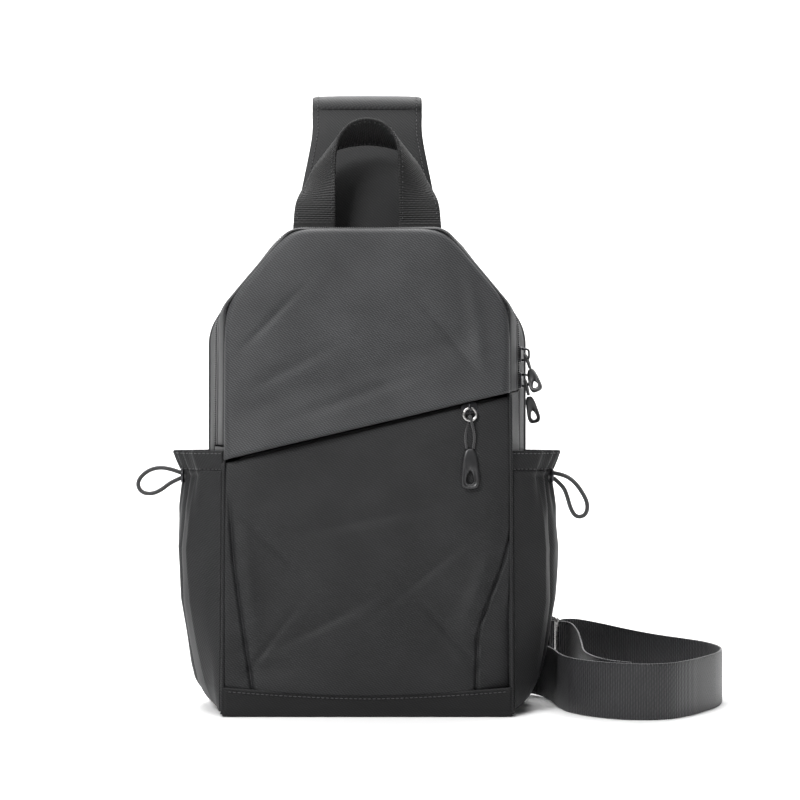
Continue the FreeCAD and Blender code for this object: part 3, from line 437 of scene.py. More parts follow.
def tubePiece(name, path, radius, material, sides=14, closed=False, ride=None):
    # a circle carried along a path; its frame turns as little as it can
    path = np.asarray(path, float)
    ahead = unit(np.roll(path, -1, 0) - np.roll(path, 1, 0)) if closed else unit(np.gradient(path, axis=0))
    side = np.empty_like(path)
    side[0] = unit(np.cross(ahead[0], (0.31, 0.2, 0.93)))
    for k in range(1, len(path)):
        side[k] = unit(side[k - 1] - ahead[k] * (side[k - 1] @ ahead[k]))
    other = np.cross(ahead, side)
    angle = np.linspace(0, math.tau, sides, endpoint=False)
    radius = np.broadcast_to(np.asarray(radius, float), len(path))[:, None, None]
    ring = side[:, None] * np.cos(angle)[:, None] + other[:, None] * np.sin(angle)[:, None]
    grid = path[:, None] + ring * radius
    run = np.concatenate([[0], np.cumsum(np.linalg.norm(np.diff(path, axis=0), axis=1))])
    uv = np.stack(np.meshgrid(angle * radius.mean(), run), -1)
    rows = len(path)
    faces = gridFaces(rows, sides, True)
    points = grid.reshape(-1, 3)
    uv = uv.reshape(-1, 2)
    if closed:
        last = np.arange(sides) + (rows - 1) * sides
        first = np.arange(sides)
        loop = np.stack([last, np.roll(last, -1), np.roll(first, -1), first], -1)
        faces = np.concatenate([faces, loop])
    else:
        ends = np.stack([path[0], path[-1]])
        points = np.concatenate([points, ends])
        uv = np.concatenate([uv, [[0, 0], [0, run[-1]]]])
        first = np.arange(sides)
        last = first + (rows - 1) * sides
        low = np.stack([np.roll(first, -1), first, np.full(sides, rows * sides)], -1)
        high = np.stack([last, np.roll(last, -1), np.full(sides, rows * sides + 1)], -1)
        return capPiece(name, points, faces, np.concatenate([low, high]), uv, material, ride)
    piece = meshPiece(name, points, faces, uv, material)
    if ride:
        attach(piece, ride)
    return piece


def capPiece(name, points, quads, caps, uv, material, ride=None):
    # as meshPiece, with triangles that close the ends
    piece = meshPiece(name, points, quads.tolist() + caps.tolist(), uv, material)
    if ride:
        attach(piece, ride)
    return piece


def bandPiece(name, pairs, thick, material, count=160, across=22, shift=0.0, crown=0.0, rim=1.0):
    # a flat band through pairs of edge points; its section is a superellipse, rim is its edge's squareness
    pairs = smoothRows(np.asarray(pairs, float), count)
    middle = pairs.mean(1)
    half = (pairs[:, 0] - pairs[:, 1]) / 2
    ahead = unit(np.gradient(middle, axis=0))
    normal = unit(np.cross(ahead, -half))
    width = np.linalg.norm(half, axis=1)
    angle = np.linspace(0, math.tau, 2 * across, endpoint=False)
    squared = 2.0 / (2.0 + 6.0 * rim)
    lie = np.sign(np.cos(angle)) * np.abs(np.cos(angle)) ** squared
    rise = np.sign(np.sin(angle)) * np.abs(np.sin(angle)) ** squared
    swell = 1 + crown * (1 - lie ** 2)
    grid = (middle[:, None] + half[:, None] * lie[:, None]
            + normal[:, None] * (shift + rise * swell * thick / 2)[:, None])
    run = np.concatenate([[0], np.cumsum(np.linalg.norm(np.diff(middle, axis=0), axis=1))])
    uv = np.stack([lie[None] * width[:, None], np.broadcast_to(run[:, None], (count, 2 * across))], -1)
    sides = 2 * across
    ends = np.stack([middle[0] + normal[0] * shift, middle[-1] + normal[-1] * shift])
    points = np.concatenate([grid.reshape(-1, 3), ends])
    uvAll = np.concatenate([uv.reshape(-1, 2), [[0, 0], [0, run[-1]]]])
    first = np.arange(sides)
    last = first + (count - 1) * sides
    low = np.stack([first, np.roll(first, -1), np.full(sides, count * sides)], -1)
    high = np.stack([np.roll(last, -1), last, np.full(sides, count * sides + 1)], -1)
    piece = capPiece(name, points, gridFaces(count, sides, True, True), np.concatenate([low, high]), uvAll,
                     material)
    return piece, pairs, normal


def stitches(name, path, outward, body, gap=0.9 * mm, long=2.2 * mm, radius=0.3 * mm, lift=0.12 * mm,
             material=None):
    # one small capsule per stitch, laid along a path
    path = np.asarray(path, float)
    outward = np.broadcast_to(np.asarray(outward, float), path.shape)
    total = np.linalg.norm(np.diff(path, axis=0), axis=1).sum()
    count = max(int(total / (gap + long)), 1)
    run = np.concatenate([[0], np.cumsum(np.linalg.norm(np.diff(path, axis=0), axis=1))])
    centre = (np.arange(count) + 0.5) * total / count

    def at(where):
        return np.stack([np.interp(where, run, path[:, k]) for k in range(3)], 1)

    middle = at(centre)
    ahead = unit(at(centre + long / 4) - at(centre - long / 4))
    up = unit(np.stack([np.interp(centre, run, outward[:, k]) for k in range(3)], 1))
    side = unit(np.cross(ahead, up))
    slide = np.linspace(-1, 1, 5)
    girth = np.array([0.35, 0.9, 1.0, 0.9, 0.35])
    angle = np.linspace(0, math.tau, 6, endpoint=False)
    along = ahead[:, None, None] * (slide * long / 2)[None, :, None, None]
    dip = up[:, None, None] * (lift - 0.35 * radius * slide ** 2)[None, :, None, None]
    ring = (side[:, None, None] * np.cos(angle)[None, None, :, None]
            + up[:, None, None] * np.sin(angle)[None, None, :, None]) * (girth * radius)[None, :, None, None]
    points = (middle[:, None, None] + along + dip + ring).reshape(-1, 3)
    one = gridFaces(5, 6, True, True)
    cap = np.array([[0, 1, 2, 3], [0, 3, 4, 5], [29, 28, 27, 26], [29, 26, 25, 24]])
    faces = np.concatenate([one, cap])
    allFaces = (faces[None] + (np.arange(count) * 30)[:, None, None]).reshape(-1, 4)
    piece = meshPiece(name, points, allFaces, np.zeros((len(points), 2)), material or threadCloth)
    if body:
        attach(piece, body)
    return piece


# cords

cords = {
    "pocketCord": 3 * mm,
    "pullCord": 1.8 * mm,
    "leftLoop": [(-128.8, 0, 161.7), (-137, -1, 165), (-146.5, -2, 165.5), (-154.5, -3, 161.5),
                 (-159, -3.5, 155), (-156.5, -3.5, 148.5), (-149, -3, 147), (-142, -2, 150.2),
                 (-136, -1, 155.3), (-128.8, 0, 158.3)],
    "rightLoop": [(128.8, 0, 161.7), (136.5, -1, 160.5), (143.5, -2, 155.5), (149, -3, 148), (152.5, -4, 140),
                  (151, -4, 132.5), (144.5, -3.5, 131), (140.5, -3, 137), (138.5, -2, 145.5),
                  (135.5, -1, 153), (128.8, 0, 158.3)],
    "leftLength": 0.0718,
    "rightLength": 0.0796,
    "pullLength": 0.0477,
}


def nurbsPath(points):
    # the points that a NURBS spline gives for a route
    curve = bpy.data.curves.new("route", "CURVE")
    curve.dimensions = "3D"
    curve.resolution_u = 12
    spline = curve.splines.new("NURBS")
    spline.points.add(len(points) - 1)
    for target, point in zip(spline.points, points):
        target.co = (*point, 1)
    spline.order_u = 3
    spline.use_endpoint_u = True
    carrier = bpy.data.objects.new("route", curve)
    bpy.context.collection.objects.link(carrier)
    bpy.context.view_layer.update()
    flat = bpy.data.meshes.new_from_object(carrier)
    path = np.empty(len(flat.vertices) * 3)
    flat.vertices.foreach_get("co", path)
    bpy.data.objects.remove(carrier)
    bpy.data.meshes.remove(flat)
    return path.reshape(-1, 3)


def cordPiece(name, points, diameter, material, body):
    path = nurbsPath([tuple(point) for point in points])
    piece = tubePiece(name, path, diameter / 2, material, 14)
    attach(piece, body)
    return piece, path


jointAt = {joint["name"]: (np.array(joint.get("pos_m") or (0, 0, 0)), np.array(joint["axis"]))
           for joint in frame["joints"]}
leanAngle = math.radians(4)
plumbUp = np.array((0, math.sin(leanAngle), math.cos(leanAngle)))
plumbOut = np.array((0, -math.cos(leanAngle), math.sin(leanAngle)))

for side in ("left", "right"):
    route = np.array(cords[side + "Loop"]) * mm
    loop, path = cordPiece("cord-loop-" + side, route, cords["pocketCord"], cordSkin, "bag")
    sewOn(loop, None, "elastic_cord", "pocket_cord_" + side)

# the front pull's cord: over the ring and down in two legs
ringFoot = jointAt["front_pull_swing"][0]
pullDrop = 19
wrap = 2.2
frontLegs = np.array([(-2.2, 0, -pullDrop), (-3, 0.3, -pullDrop * 0.7), (-2.8, 1.1, -pullDrop * 0.42),
                      (-1.4, wrap, -pullDrop * 0.16), (-0.3, wrap, wrap * 1.35), (0.3, -wrap, wrap * 1.35),
                      (1.4, -wrap, -pullDrop * 0.16), (2.8, -1.1, -pullDrop * 0.42),
                      (3, -0.3, -pullDrop * 0.7), (2.2, 0, -pullDrop)]) * mm
route = ringFoot + frontLegs[:, :1] * (1, 0, 0) - frontLegs[:, 1:2] * plumbOut + frontLegs[:, 2:] * plumbUp
frontCord, path = cordPiece("front-pull-cord", route, cords["pullCord"], pullSkin, "front_pull")
sewOn(frontCord, None, "elastic_cord", "front_pull_cord")
print("cords laid")


# pull tabs

pullTab = {
    "long": 27 * mm,
    "topHalf": 4.25 * mm,
    "endHalf": 7.25 * mm,
    "thick": 5 * mm,
    "holeHalf": 3.0 * mm,
    "holeLong": 9.0 * mm,
}


def tabPiece(name, origin, across, up, share, body):
    # between a tapered outline and a teardrop hole: width lerps inward, thickness follows a rounded section
    look = {key: value * share for key, value in pullTab.items()}
    turn = np.linspace(0, math.tau, 72, endpoint=False)
    c, s = np.cos(turn), np.sin(turn)
    power = 0.62
    drop = 0.5 - 0.5 * np.sign(s) * np.abs(s) ** power
    half = look["topHalf"] + (look["endHalf"] - look["topHalf"]) * drop ** 1.3
    outerX = half * np.sign(c) * np.abs(c) ** power
    outerZ = -look["long"] * drop
    holeDrop = 0.5 - 0.5 * s
    holeHalf = look["holeHalf"] * (0.35 + 0.65 * holeDrop) * 1.15
    holeX = holeHalf * c
    holeZ = -look["long"] + look["holeLong"] * 0.32 + look["holeLong"] * (1 - holeDrop) + 0.4 * mm * share
    # section from outer rim over the front to the hole and back behind: angle round the rim
    angle = np.linspace(0, math.tau, 28, endpoint=False)
    inward = 0.5 - 0.5 * np.cos(angle)
    squared = 0.42
    rise = np.sign(np.sin(angle)) * np.abs(np.sin(angle)) ** squared * look["thick"] / 2
    x = outerX[:, None] * (1 - inward) + holeX[:, None] * inward
    z = outerZ[:, None] * (1 - inward) + holeZ[:, None] * inward
    # a shallow dish round the hole, and the top thinner than the end
    dish = 1 - 0.28 * np.exp(-((inward - 0.62) / 0.16) ** 2)[None] * (drop[:, None] > 0.3)
    y = rise[None] * dish * (0.82 + 0.18 * drop[:, None])
    across, up = np.array(across, float), np.array(up, float)
    out = np.cross(across, up)
    grid = origin + x[..., None] * across + z[..., None] * up + y[..., None] * out
    faces = gridFaces(72, 28, True)
    last, first = np.arange(28) + 71 * 28, np.arange(28)
    join = np.stack([last, np.roll(last, -1), np.roll(first, -1), first], -1)
    uv = np.stack(np.broadcast_arrays(turn[:, None] * 0.01, angle[None] * 0.01), -1).reshape(-1, 2)
    piece = meshPiece(name, grid.reshape(-1, 3), np.concatenate([faces, join]), uv, rubberSkin)
    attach(piece, body)
    return piece


frontTab = tabPiece("front-pull-tab", ringFoot - pullDrop * mm * plumbUp, (1, 0, 0), plumbUp, 1.0,
                    "front_pull")
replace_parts(frontTab, "front_pull_tab")

mainPulls = {
    "upper": {"lean": 22, "fan": 33},
    "lower": {"lean": 12, "fan": -14},
    "drop": 10.5 * mm,
    "straight": 5.25 * mm,
    "tabShare": 0.72,
}


def turned(vector, axis, degrees):
    # Rodrigues: the part across the axis turns about it
    axis = unit(np.array(axis, float))
    vector = np.array(vector, float)
    c, s = math.cos(math.radians(degrees)), math.sin(math.radians(degrees))
    return vector * c + np.cross(axis, vector) * s + axis * (axis @ vector) * (1 - c)


for level in ("upper", "lower"):
    pivot, axis = jointAt[level + "_pull_swing"]
    look = mainPulls[level]
    localY = -axis
    localX = unit(np.cross(localY, (0, 0, 1)))
    leanX = turned(localX, localY, -look["lean"])
    leanZ = turned((0, 0, 1), localY, -look["lean"])
    aside = math.tan(math.radians(look["fan"]))
    leg, straight = mainPulls["drop"] / mm, mainPulls["straight"] / mm
    legs = np.array([(-1.6, -leg), (-2.7, -leg * 0.74), (-4, -straight), (-3.6, 0.2), (3.6, 0.2),
                     (4, -straight), (2.7, -leg * 0.74), (1.6, -leg)]) * mm
    legY = legs[:, 0] + aside * np.minimum(legs[:, 1] + straight * mm, 0)
    route = pivot + legY[:, None] * localY + legs[:, 1:] * leanZ
    piece, path = cordPiece(level + "-pull-cord", route, cords["pullCord"], pullSkin, level + "_pull")
    sewOn(piece, None, "elastic_cord", level + "_pull_cord")
    tabDrop = (leg + 0.9) * mm
    tabTop = pivot + aside * (straight * mm - tabDrop) * localY - tabDrop * leanZ
    tabUp = turned(leanZ, leanX, -look["fan"])
    tab = tabPiece(level + "-pull-tab", tabTop, leanX, tabUp, mainPulls["tabShare"], level + "_pull")
    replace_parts(tab, level + "_pull_tab")
print("pulls hung")


# outlines

_, flapHigh = cornersOf("flap_panel")
bootLow, _ = cornersOf("front_boot")
_, backHigh = cornersOf("back_mesh")
liningLow, _ = cornersOf("back_lining")
_, hemHigh = cornersOf("pocket_hem_left")
zipLow, _ = cornersOf("main_zip_tape_front")
_, rearTapeHigh = cornersOf("main_zip_tape_rear")

body = {
    "half": flapHigh[0],
    "footY": bootLow[1],
    "top": flapHigh[2] / math.cos(leanAngle),
    "cut": (45 * mm, 53 * mm),
    "corner": 14 * mm,
    "foot": 4.8 * mm,
    "panel": 2.4 * mm,
    "backHalf": backHigh[0],
    "backTop": backHigh[2],
    "backY": liningLow[1],
    "backCut": (54 * mm, 70 * mm),
    "backCorner": 34 * mm,
    "backFoot": 30 * mm,
    "wall": 1.6 * mm,
    "foldAt": 194 * mm,
    "foldSlope": 46 / 194,
    "foldGap": 0.5 * mm,
    "wallFoot": hemHigh[2] + 2.5 * mm,
}


def roundedLoop(corners, arcCount=9, lineCount=30):
    # corners are (x, z, radius): an arc about each corner's centre, then straight to the next
    data = np.array(corners, float)
    point, radius = data[:, :2], data[:, 2:]
    before = unit(np.roll(point, 1, 0) - point)
    after = unit(np.roll(point, -1, 0) - point)
    half = np.arccos(np.clip((before * after).sum(1, keepdims=True), -1, 1)) / 2
    start = point + before * radius / np.tan(half)
    end = point + after * radius / np.tan(half)
    centre = point + unit(before + after) * radius / np.sin(half)
    low = np.arctan2((start - centre)[:, 1], (start - centre)[:, 0])
    high = np.arctan2((end - centre)[:, 1], (end - centre)[:, 0])
    turn = (high - low + math.pi) % math.tau - math.pi
    angle = low[:, None] + turn[:, None] * np.linspace(0, 1, arcCount)
    arc = centre[:, None] + radius[:, None] * np.stack([np.cos(angle), np.sin(angle)], -1)
    share = np.linspace(0, 1, lineCount + 2)[1:-1, None]
    line = end[:, None] * (1 - share) + np.roll(start, -1, 0)[:, None] * share
    return np.concatenate([arc, line], 1).reshape(-1, 2)


def bagOutline(half, top, cut, foot, corner, shoulder, low=0.0):
    return roundedLoop([(-half, low, foot), (half, low, foot), (half, top - cut[1], shoulder),
                        (half - cut[0], top, corner), (-(half - cut[0]), top, corner),
                        (-half, top - cut[1], shoulder)])


def facePoint(x, s, d):
    # the leaning front: x across, s up the face, d into the bag
    c, n = math.cos(leanAngle), math.sin(leanAngle)
    return np.stack(np.broadcast_arrays(x, body["footY"] + s * n + d * c, s * c - d * n), -1)


frontLoop = bagOutline(body["half"], body["top"], body["cut"], body["foot"], body["corner"], body["corner"])
backLoop = bagOutline(body["backHalf"], body["backTop"], body["backCut"], body["backFoot"],
                      body["backCorner"], body["backCorner"])
frontRing = facePoint(frontLoop[:, 0], frontLoop[:, 1], body["panel"])
backRing = np.stack([backLoop[:, 0], np.full(len(backLoop), body["backY"]), backLoop[:, 1]], 1)


def sectionAt(y):
    # the shell's outline where the ruled lines from front to back meet a depth, one value or one per line
    share = ((y - frontRing[:, 1]) / (backRing[:, 1] - frontRing[:, 1]))[:, None]
    return frontRing + (backRing - frontRing) * share


def foldHeight(x):
    return body["foldAt"] + body["foldSlope"] * x


def runWhere(loop, keepSide):
    # the one run of a closed loop where keepSide is above zero, with its ends cut exactly
    inside = keepSide > 0
    start = np.flatnonzero(inside & ~np.roll(inside, 1))[0]
    loop, keepSide = np.roll(loop, -start, 0), np.roll(keepSide, -start)
    count = int(np.argmin(keepSide > 0))

    def cut(a, b):
        share = keepSide[a] / (keepSide[a] - keepSide[b])
        return loop[a] + (loop[b] - loop[a]) * share

    return np.concatenate([[cut(0, -1)], loop[:count], [cut(count - 1, count)]])


def aboveFold(loop):
    level = np.minimum(loop[:, 2] - foldHeight(loop[:, 0]), loop[:, 2] - body["wallFoot"]) - body["foldGap"]
    return runWhere(loop, level)


def belowFold(loop):
    level = np.maximum(foldHeight(loop[:, 0]) - loop[:, 2], body["wallFoot"] - loop[:, 2]) - body["foldGap"]
    return runWhere(loop, level)


def outwardSign(grid):
    # plus one where the grid's normals already point away from the bag's middle line
    normal = gridNormals(grid)
    reach = grid[..., [0, 2]] - np.array([0, body["top"] * 0.5])
    return 1 if (normal[..., [0, 2]] * reach).sum() > 0 else -1


def wallPiece(name, rows, material, relief, wall=1.6 * mm):
    # sections stacked from front to back, pushed out by a relief
    grid = np.stack(rows)
    sign = outwardSign(grid)
    grid = grid + gridNormals(grid) * sign * relief[..., None]
    return gridPiece(name, grid, material, flip=sign < 0, wall=wall)


# shell walls

walls = {
    "around": 260,
    "sag": 1.3 * mm,
    "seamDip": 0.7 * mm,
}


def wallRows(cut, first, last, count, around):
    # rows between two depths; each depth is one value or one per ruled line
    shares = np.linspace(0, 1, count)
    return [resample(cut(sectionAt(first + (last - first) * share)), around) for share in shares]


def wallRelief(count, around, seed, puff):
    v, u = np.meshgrid(np.linspace(0, 1, count), np.linspace(0, 1, around), indexing="ij")
    hollow = np.sin(math.pi * v) ** 0.7
    fold = soft(u * 14, v * 3, seed)
    seam = np.exp(-(v / 0.06) ** 2) + np.exp(-((1 - v) / 0.06) ** 2)
    return hollow * (puff + walls["sag"] * fold) - walls["seamDip"] * seam


frontEdge = frontRing[:, 1]
tapeFrontY, tapeMiddleY, tapeRearY = zipLow[1], 8 * mm, rearTapeHigh[1]

rows = wallRows(aboveFold, frontEdge, tapeFrontY, 26, walls["around"])
flapWall = wallPiece("flap-wall", rows, twillSidePaintedShade, wallRelief(26, walls["around"], 3, 0.9 * mm))
sewOn(flapWall, "front_flap", "coated_cloth", "flap_gusset")

rows = wallRows(belowFold, frontEdge, np.full(len(frontEdge), tapeRearY), 34, walls["around"])
relief = wallRelief(34, walls["around"], 5, 0.8 * mm)
grid = np.stack(rows)
relief = relief * np.clip((grid[..., 2] - 8 * mm) / (25 * mm), 0, 1)
lowerWall = wallPiece("lower-wall", rows, twillSidePaintedShade, relief)
sewOn(lowerWall, "bag", "coated_cloth", "side_gusset_left", "side_gusset_right", "base_panel")


def closedRows(first, last, count, around):
    made = []
    for share in np.linspace(0, 1, count):
        loop = sectionAt(first + (last - first) * share)
        made.append(resample(np.concatenate([loop, loop[:1]]), around + 1)[:-1])
    return made


rows = closedRows(tapeRearY, body["backY"], 24, 300)
grid = np.stack(rows)
sign = outwardSign(grid)
v, u = np.meshgrid(np.linspace(0, 1, 24), np.linspace(0, math.tau, 300, endpoint=False), indexing="ij")
swell = np.sin(math.pi * v) ** 0.7 * (0.7 + 0.9 * soft(np.cos(u) * 7, np.sin(u) * 7 + v * 2, 9)) * mm
swell *= np.clip((grid[..., 2] - 8 * mm) / (30 * mm), 0, 1)
grid = grid + gridNormals(grid) * sign * swell[..., None]
rearWall = gridPiece("rear-wall", grid, twillSidePaintedShade, closed=True, flip=sign < 0, wall=body["wall"])
sewOn(rearWall, "bag", "coated_cloth", "rear_gusset")
print("walls sewn")


# main zip

zipLook = {
    "proud": 0.3 * mm,
    "toothPitch": 1.5 * mm,
    "toothHalf": (0.95 * mm, 0.55 * mm, 0.75 * mm),  # across the zip, along it, out of the cloth
    "toothOffset": 1.05 * mm,
}


def loopOutward(path):
    # away from the bag's middle, square to the path in the upright plane
    ahead = unit(np.gradient(path, axis=0))
    out = np.stack([ahead[:, 2], np.zeros(len(path)), -ahead[:, 0]], 1)
    sign = 1 if (out * (path - [0, 0, body["top"] * 0.5])).sum() > 0 else -1
    return unit(out * sign)


def teethPiece(name, path, towards, half, carrier, proud=0.35 * mm):
    # one small ellipsoid per tooth along the zip
    total = np.linalg.norm(np.diff(path, axis=0), axis=1).sum()
    count = int(total / zipLook["toothPitch"])
    spots = resample(path, count)
    out = loopOutward(spots)
    ahead = unit(np.gradient(spots, axis=0))
    side = unit(np.cross(ahead, out))
    rise = np.linspace(-math.pi / 2, math.pi / 2, 6)[1:-1]
    turn = np.linspace(0, math.tau, 8, endpoint=False)
    ball = np.stack([np.outer(np.sin(rise), np.ones(8)), np.outer(np.cos(rise), np.cos(turn)),
                     np.outer(np.cos(rise), np.sin(turn))], -1).reshape(-1, 3)
    ball = np.concatenate([ball, [[-1, 0, 0], [1, 0, 0]]])
    size = np.array(half)
    local = np.sign(ball) * np.abs(ball) ** 0.75 * size
    centre = spots + np.array([0, towards, 0]) + out * (zipLook["proud"] + proud)
    points = (centre[:, None] + side[:, None] * local[:, :1] + ahead[:, None] * local[:, 1:2]
              + out[:, None] * local[:, 2:])
    ring = gridFaces(4, 8, True)
    first, last = np.arange(8), np.arange(8) + 24
    low = np.stack([np.full(8, 32), np.roll(first, -1), first], -1)
    high = np.stack([np.full(8, 33), last, np.roll(last, -1)], -1)
    quads = (ring[None] + (np.arange(count) * 34)[:, None, None]).reshape(-1, 4)
    caps = (np.concatenate([low, high])[None] + (np.arange(count) * 34)[:, None, None]).reshape(-1, 3)
    piece = capPiece(name, points.reshape(-1, 3), quads, caps, np.zeros((count * 34, 2)), teethSkin)
    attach(piece, carrier)
    return piece


def tapePiece(name, cut, first, last, carrier, around=220):
    rows = wallRows(cut, first, last, 6, around)
    relief = np.full((6, around), zipLook["proud"])
    piece = wallPiece(name, rows, tapeCloth, relief, 1.2 * mm)
    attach(piece, carrier)
    return piece


tapeStop = 0.2 * mm
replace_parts(tapePiece("main-zip-tape-front", aboveFold, tapeFrontY, tapeMiddleY - tapeStop, "front_flap"),
            "main_zip_tape_front")
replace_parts(tapePiece("main-zip-tape-rear", aboveFold, tapeMiddleY + tapeStop, tapeRearY, "bag"),
            "main_zip_tape_rear")
zipMiddle = resample(aboveFold(sectionAt(tapeMiddleY)), 500)
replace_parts(teethPiece("main-zip-teeth-front", zipMiddle, -zipLook["toothOffset"], zipLook["toothHalf"],
                       "front_flap"), "main_zip_teeth_front")
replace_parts(teethPiece("main-zip-teeth-rear", zipMiddle, zipLook["toothOffset"], zipLook["toothHalf"], "bag"),
            "main_zip_teeth_rear")
endLow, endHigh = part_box("main_zip_end_right")
ring = sectionAt(tapeMiddleY)
upright = ring[ring[:, 0] > 0.6 * ring[:, 0].max()]
upright = upright[np.argsort(upright[:, 2])]
endX = np.interp([endLow[2], endHigh[2]], upright[:, 2], upright[:, 0])
endPath = np.stack([endX, np.full(2, tapeMiddleY), [endLow[2], endHigh[2]]], 1)
zipEnd = teethPiece("main-zip-end-right", resample(endPath, 40), 0, (1.9 * mm, 0.55 * mm, 0.4 * mm), "bag",
                    0.1 * mm)
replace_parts(zipEnd, "main_zip_end_right")
print("main zip closed")


# panels

def loopHigh(loop, x):
    # height of the outline's upper half at x
    top = loop[loop[:, 1] > loop[:, 1].max() * 0.5]
    order = np.argsort(top[:, 0], kind="stable")
    return np.interp(x, top[order, 0], top[order, 1])


def cornerDistance(x, s, half, top, cut, soften=4 * mm):
    # distance in from the sides, the slants and the top: a soft minimum of the distances to their lines
    slant = math.hypot(*cut)
    lines = [half - np.abs(x), top - s,
             ((half - np.abs(x)) * cut[1] + (top - s) * cut[0] - cut[0] * cut[1]) / slant]
    total = sum(np.exp(-line / soften) for line in lines)
    return np.maximum(-soften * np.log(total), 0)


def roundedDrop(distance, radius):
    # a quarter circle that falls away within a radius of the edge
    inside = np.clip(distance / radius, 0, 1)
    return radius * (1 - np.sqrt(1 - (1 - inside) ** 2))


def spread(count, half):
    # columns that gather near both sides
    t = np.linspace(-1, 1, count)
    return half * (0.72 * t + 0.28 * np.sin(t * math.pi / 2))


front = {
    "flapPuff": 3.4 * mm,
    "lowerPuff": 2.0 * mm,
    "edgeRound": 4.5 * mm,
    "rollRadius": 2.1 * mm,
    "rollOut": 4.4 * mm,
    "leftSeam": [(-94.5, 163), (-92.5, 140), (-89.8, 105), (-85.6, 75), (-81.1, 45), (-76.4, 16)],
    "rightSeam": [(97.0, 125), (91.5, 104), (81.9, 78.5), (76.5, 64), (73.7, 52), (72.6, 16)],
    "creases": [(-60, 110, -0.9, 4, 26), (-30, 62, 0.5, 5, 34), (40, 96, 0.8, 5, 30), (58, 52, -1.1, 4, 22),
                (0, 132, 0.2, 5, 46), (-66, 48, 1.3, 4, 16)],
    "flapCreases": [(-55, 232, 0.5, 5, 30), (20, 262, -0.3, 6, 40), (60, 250, -1.2, 5, 24),
                    (-10, 214, 0.35, 5, 44), (-70, 262, 1.0, 4, 20)],
    "bootMiddle": 14 * mm,
    "bootSide": 19 * mm,
}


def flapTop(x):
    return loopHigh(frontLoop, x)


def bootLine(x):
    # straight runs to a dip in the middle, eased like a hanging thread
    share = np.abs(x) / body["half"]
    return front["bootMiddle"] + (front["bootSide"] - front["bootMiddle"]) * share ** 1.6


# flap: heights run from its rolled edge to the top
columns, rowsUp, rollRows = 250, 130, 12
x = spread(columns, body["half"] - 0.2 * mm)[None]
edge = foldHeight(x) + front["rollRadius"] + 0.3 * mm
b = np.linspace(0, 1, rowsUp)[:, None] ** 0.9
s = edge + (flapTop(x) - edge) * b
near = cornerDistance(x, s, body["half"], body["top"], body["cut"])
lift = s - edge
puff = front["flapPuff"] * (1 - np.exp(-near / (16 * mm))) * (1 - 0.35 * np.exp(-lift / (30 * mm)))
lip = front["rollOut"] * np.exp(-lift / (20 * mm)) * np.clip(near / (6 * mm), 0, 1) ** 0.5
ease = np.clip(near / (30 * mm), 0, 1)
folds = (soft(x * 42, s * 30, 11) * 2.0 + soft(x * 110, s * 75, 12) * 0.55) * mm * ease
drag = 1.5 * mm * np.exp(-((s - edge - 26 * mm - 0.10 * (x + body["half"])) / (11 * mm)) ** 2) * ease
sideFold = 1.8 * mm * np.exp(-((x - 82 * mm + (s - 200 * mm) * 0.12) / (5 * mm)) ** 2)
sideFold = sideFold * np.clip(lift / (30 * mm), 0, 1)
crease = 1.1 * mm * sum(np.exp(-(((s - z0 * mm) - (x - x0 * mm) * slope) / (wide * mm)) ** 2
                                - ((x - x0 * mm) / (long * mm)) ** 2)
                        for x0, z0, slope, wide, long in front["flapCreases"])
depth = roundedDrop(near, front["edgeRound"]) - puff - lip - folds + drag - sideFold * ease + crease * ease
face = facePoint(x, s, depth)
faceUv = np.stack(np.broadcast_arrays(x, s), -1)
phi = np.linspace(math.pi, 0, rollRows + 1)[:-1, None]
firstDepth = depth[:1]
rollS = edge - front["rollRadius"] * np.sin(phi)
rollD = firstDepth + front["rollRadius"] * (1 - np.cos(phi))
roll = facePoint(x, rollS, rollD)
rollUv = np.stack(np.broadcast_arrays(x, edge - front["rollRadius"] * phi), -1)
flap = gridPiece("flap-panel", np.concatenate([roll, face]), twill, np.concatenate([rollUv, faceUv]),
                 wall=1.2 * mm)
sewOn(flap, "front_flap", "coated_cloth", "flap_panel", "flap_edge_roll")

# lower front: a gathered middle between two curved seams
columns, rowsUp = 250, 150
x = spread(columns, body["half"] - 0.2 * mm)[None]
low = bootLine(x) + 0.2 * mm
high = foldHeight(x) - 1.6 * mm
b = np.linspace(0, 1, rowsUp)[:, None]
s = low + (high - low) * b
seams = {side: np.array(front[side + "Seam"]) * mm for side in ("left", "right")}


def seamAt(side, s):
    points = seams[side][::-1]
    return np.interp(s, points[:, 1], points[:, 0])


fromLeft = x - seamAt("left", s)
fromRight = seamAt("right", s) - x
inner = np.minimum(fromLeft, fromRight)
seamLive = np.clip((150 * mm - s) / (30 * mm), 0, 1)
middlePuff = 1.3 * front["lowerPuff"] * (1 - np.exp(-np.clip(inner, 0, None) / (9 * mm)))
groove = 2.2 * mm * np.exp(-(inner / (1.2 * mm)) ** 2) * seamLive
sidePuff = 0.7 * mm * (1 - np.exp(-np.clip(-inner, 0, None) / (4 * mm)))
rightTuck = np.clip(-fromRight, 0, 26 * mm) * 0.30 * np.clip((112 * mm - s) / (45 * mm), 0, 1)
leftTuck = np.clip(-fromLeft, 0, 20 * mm) * 0.07
rightBulge = (3.2 * mm * np.exp(-((fromRight - 9 * mm) / (8 * mm)) ** 2)
              * np.exp(-((s - 74 * mm) / (34 * mm)) ** 2))
leftBulge = (2.2 * mm * np.exp(-((fromLeft - 7 * mm) / (7 * mm)) ** 2)
             * np.exp(-((s - 84 * mm) / (45 * mm)) ** 2))
folds = soft(x * 40, s * 26, 21) * 2.2 * mm + soft(x * 120, s * 80, 22) * 0.6 * mm
slack = 1.6 * mm * np.cos(x * 52 + s * 9) * np.exp(-((s - 45 * mm) / (32 * mm)) ** 2)
sideGap = body["half"] - np.abs(x)
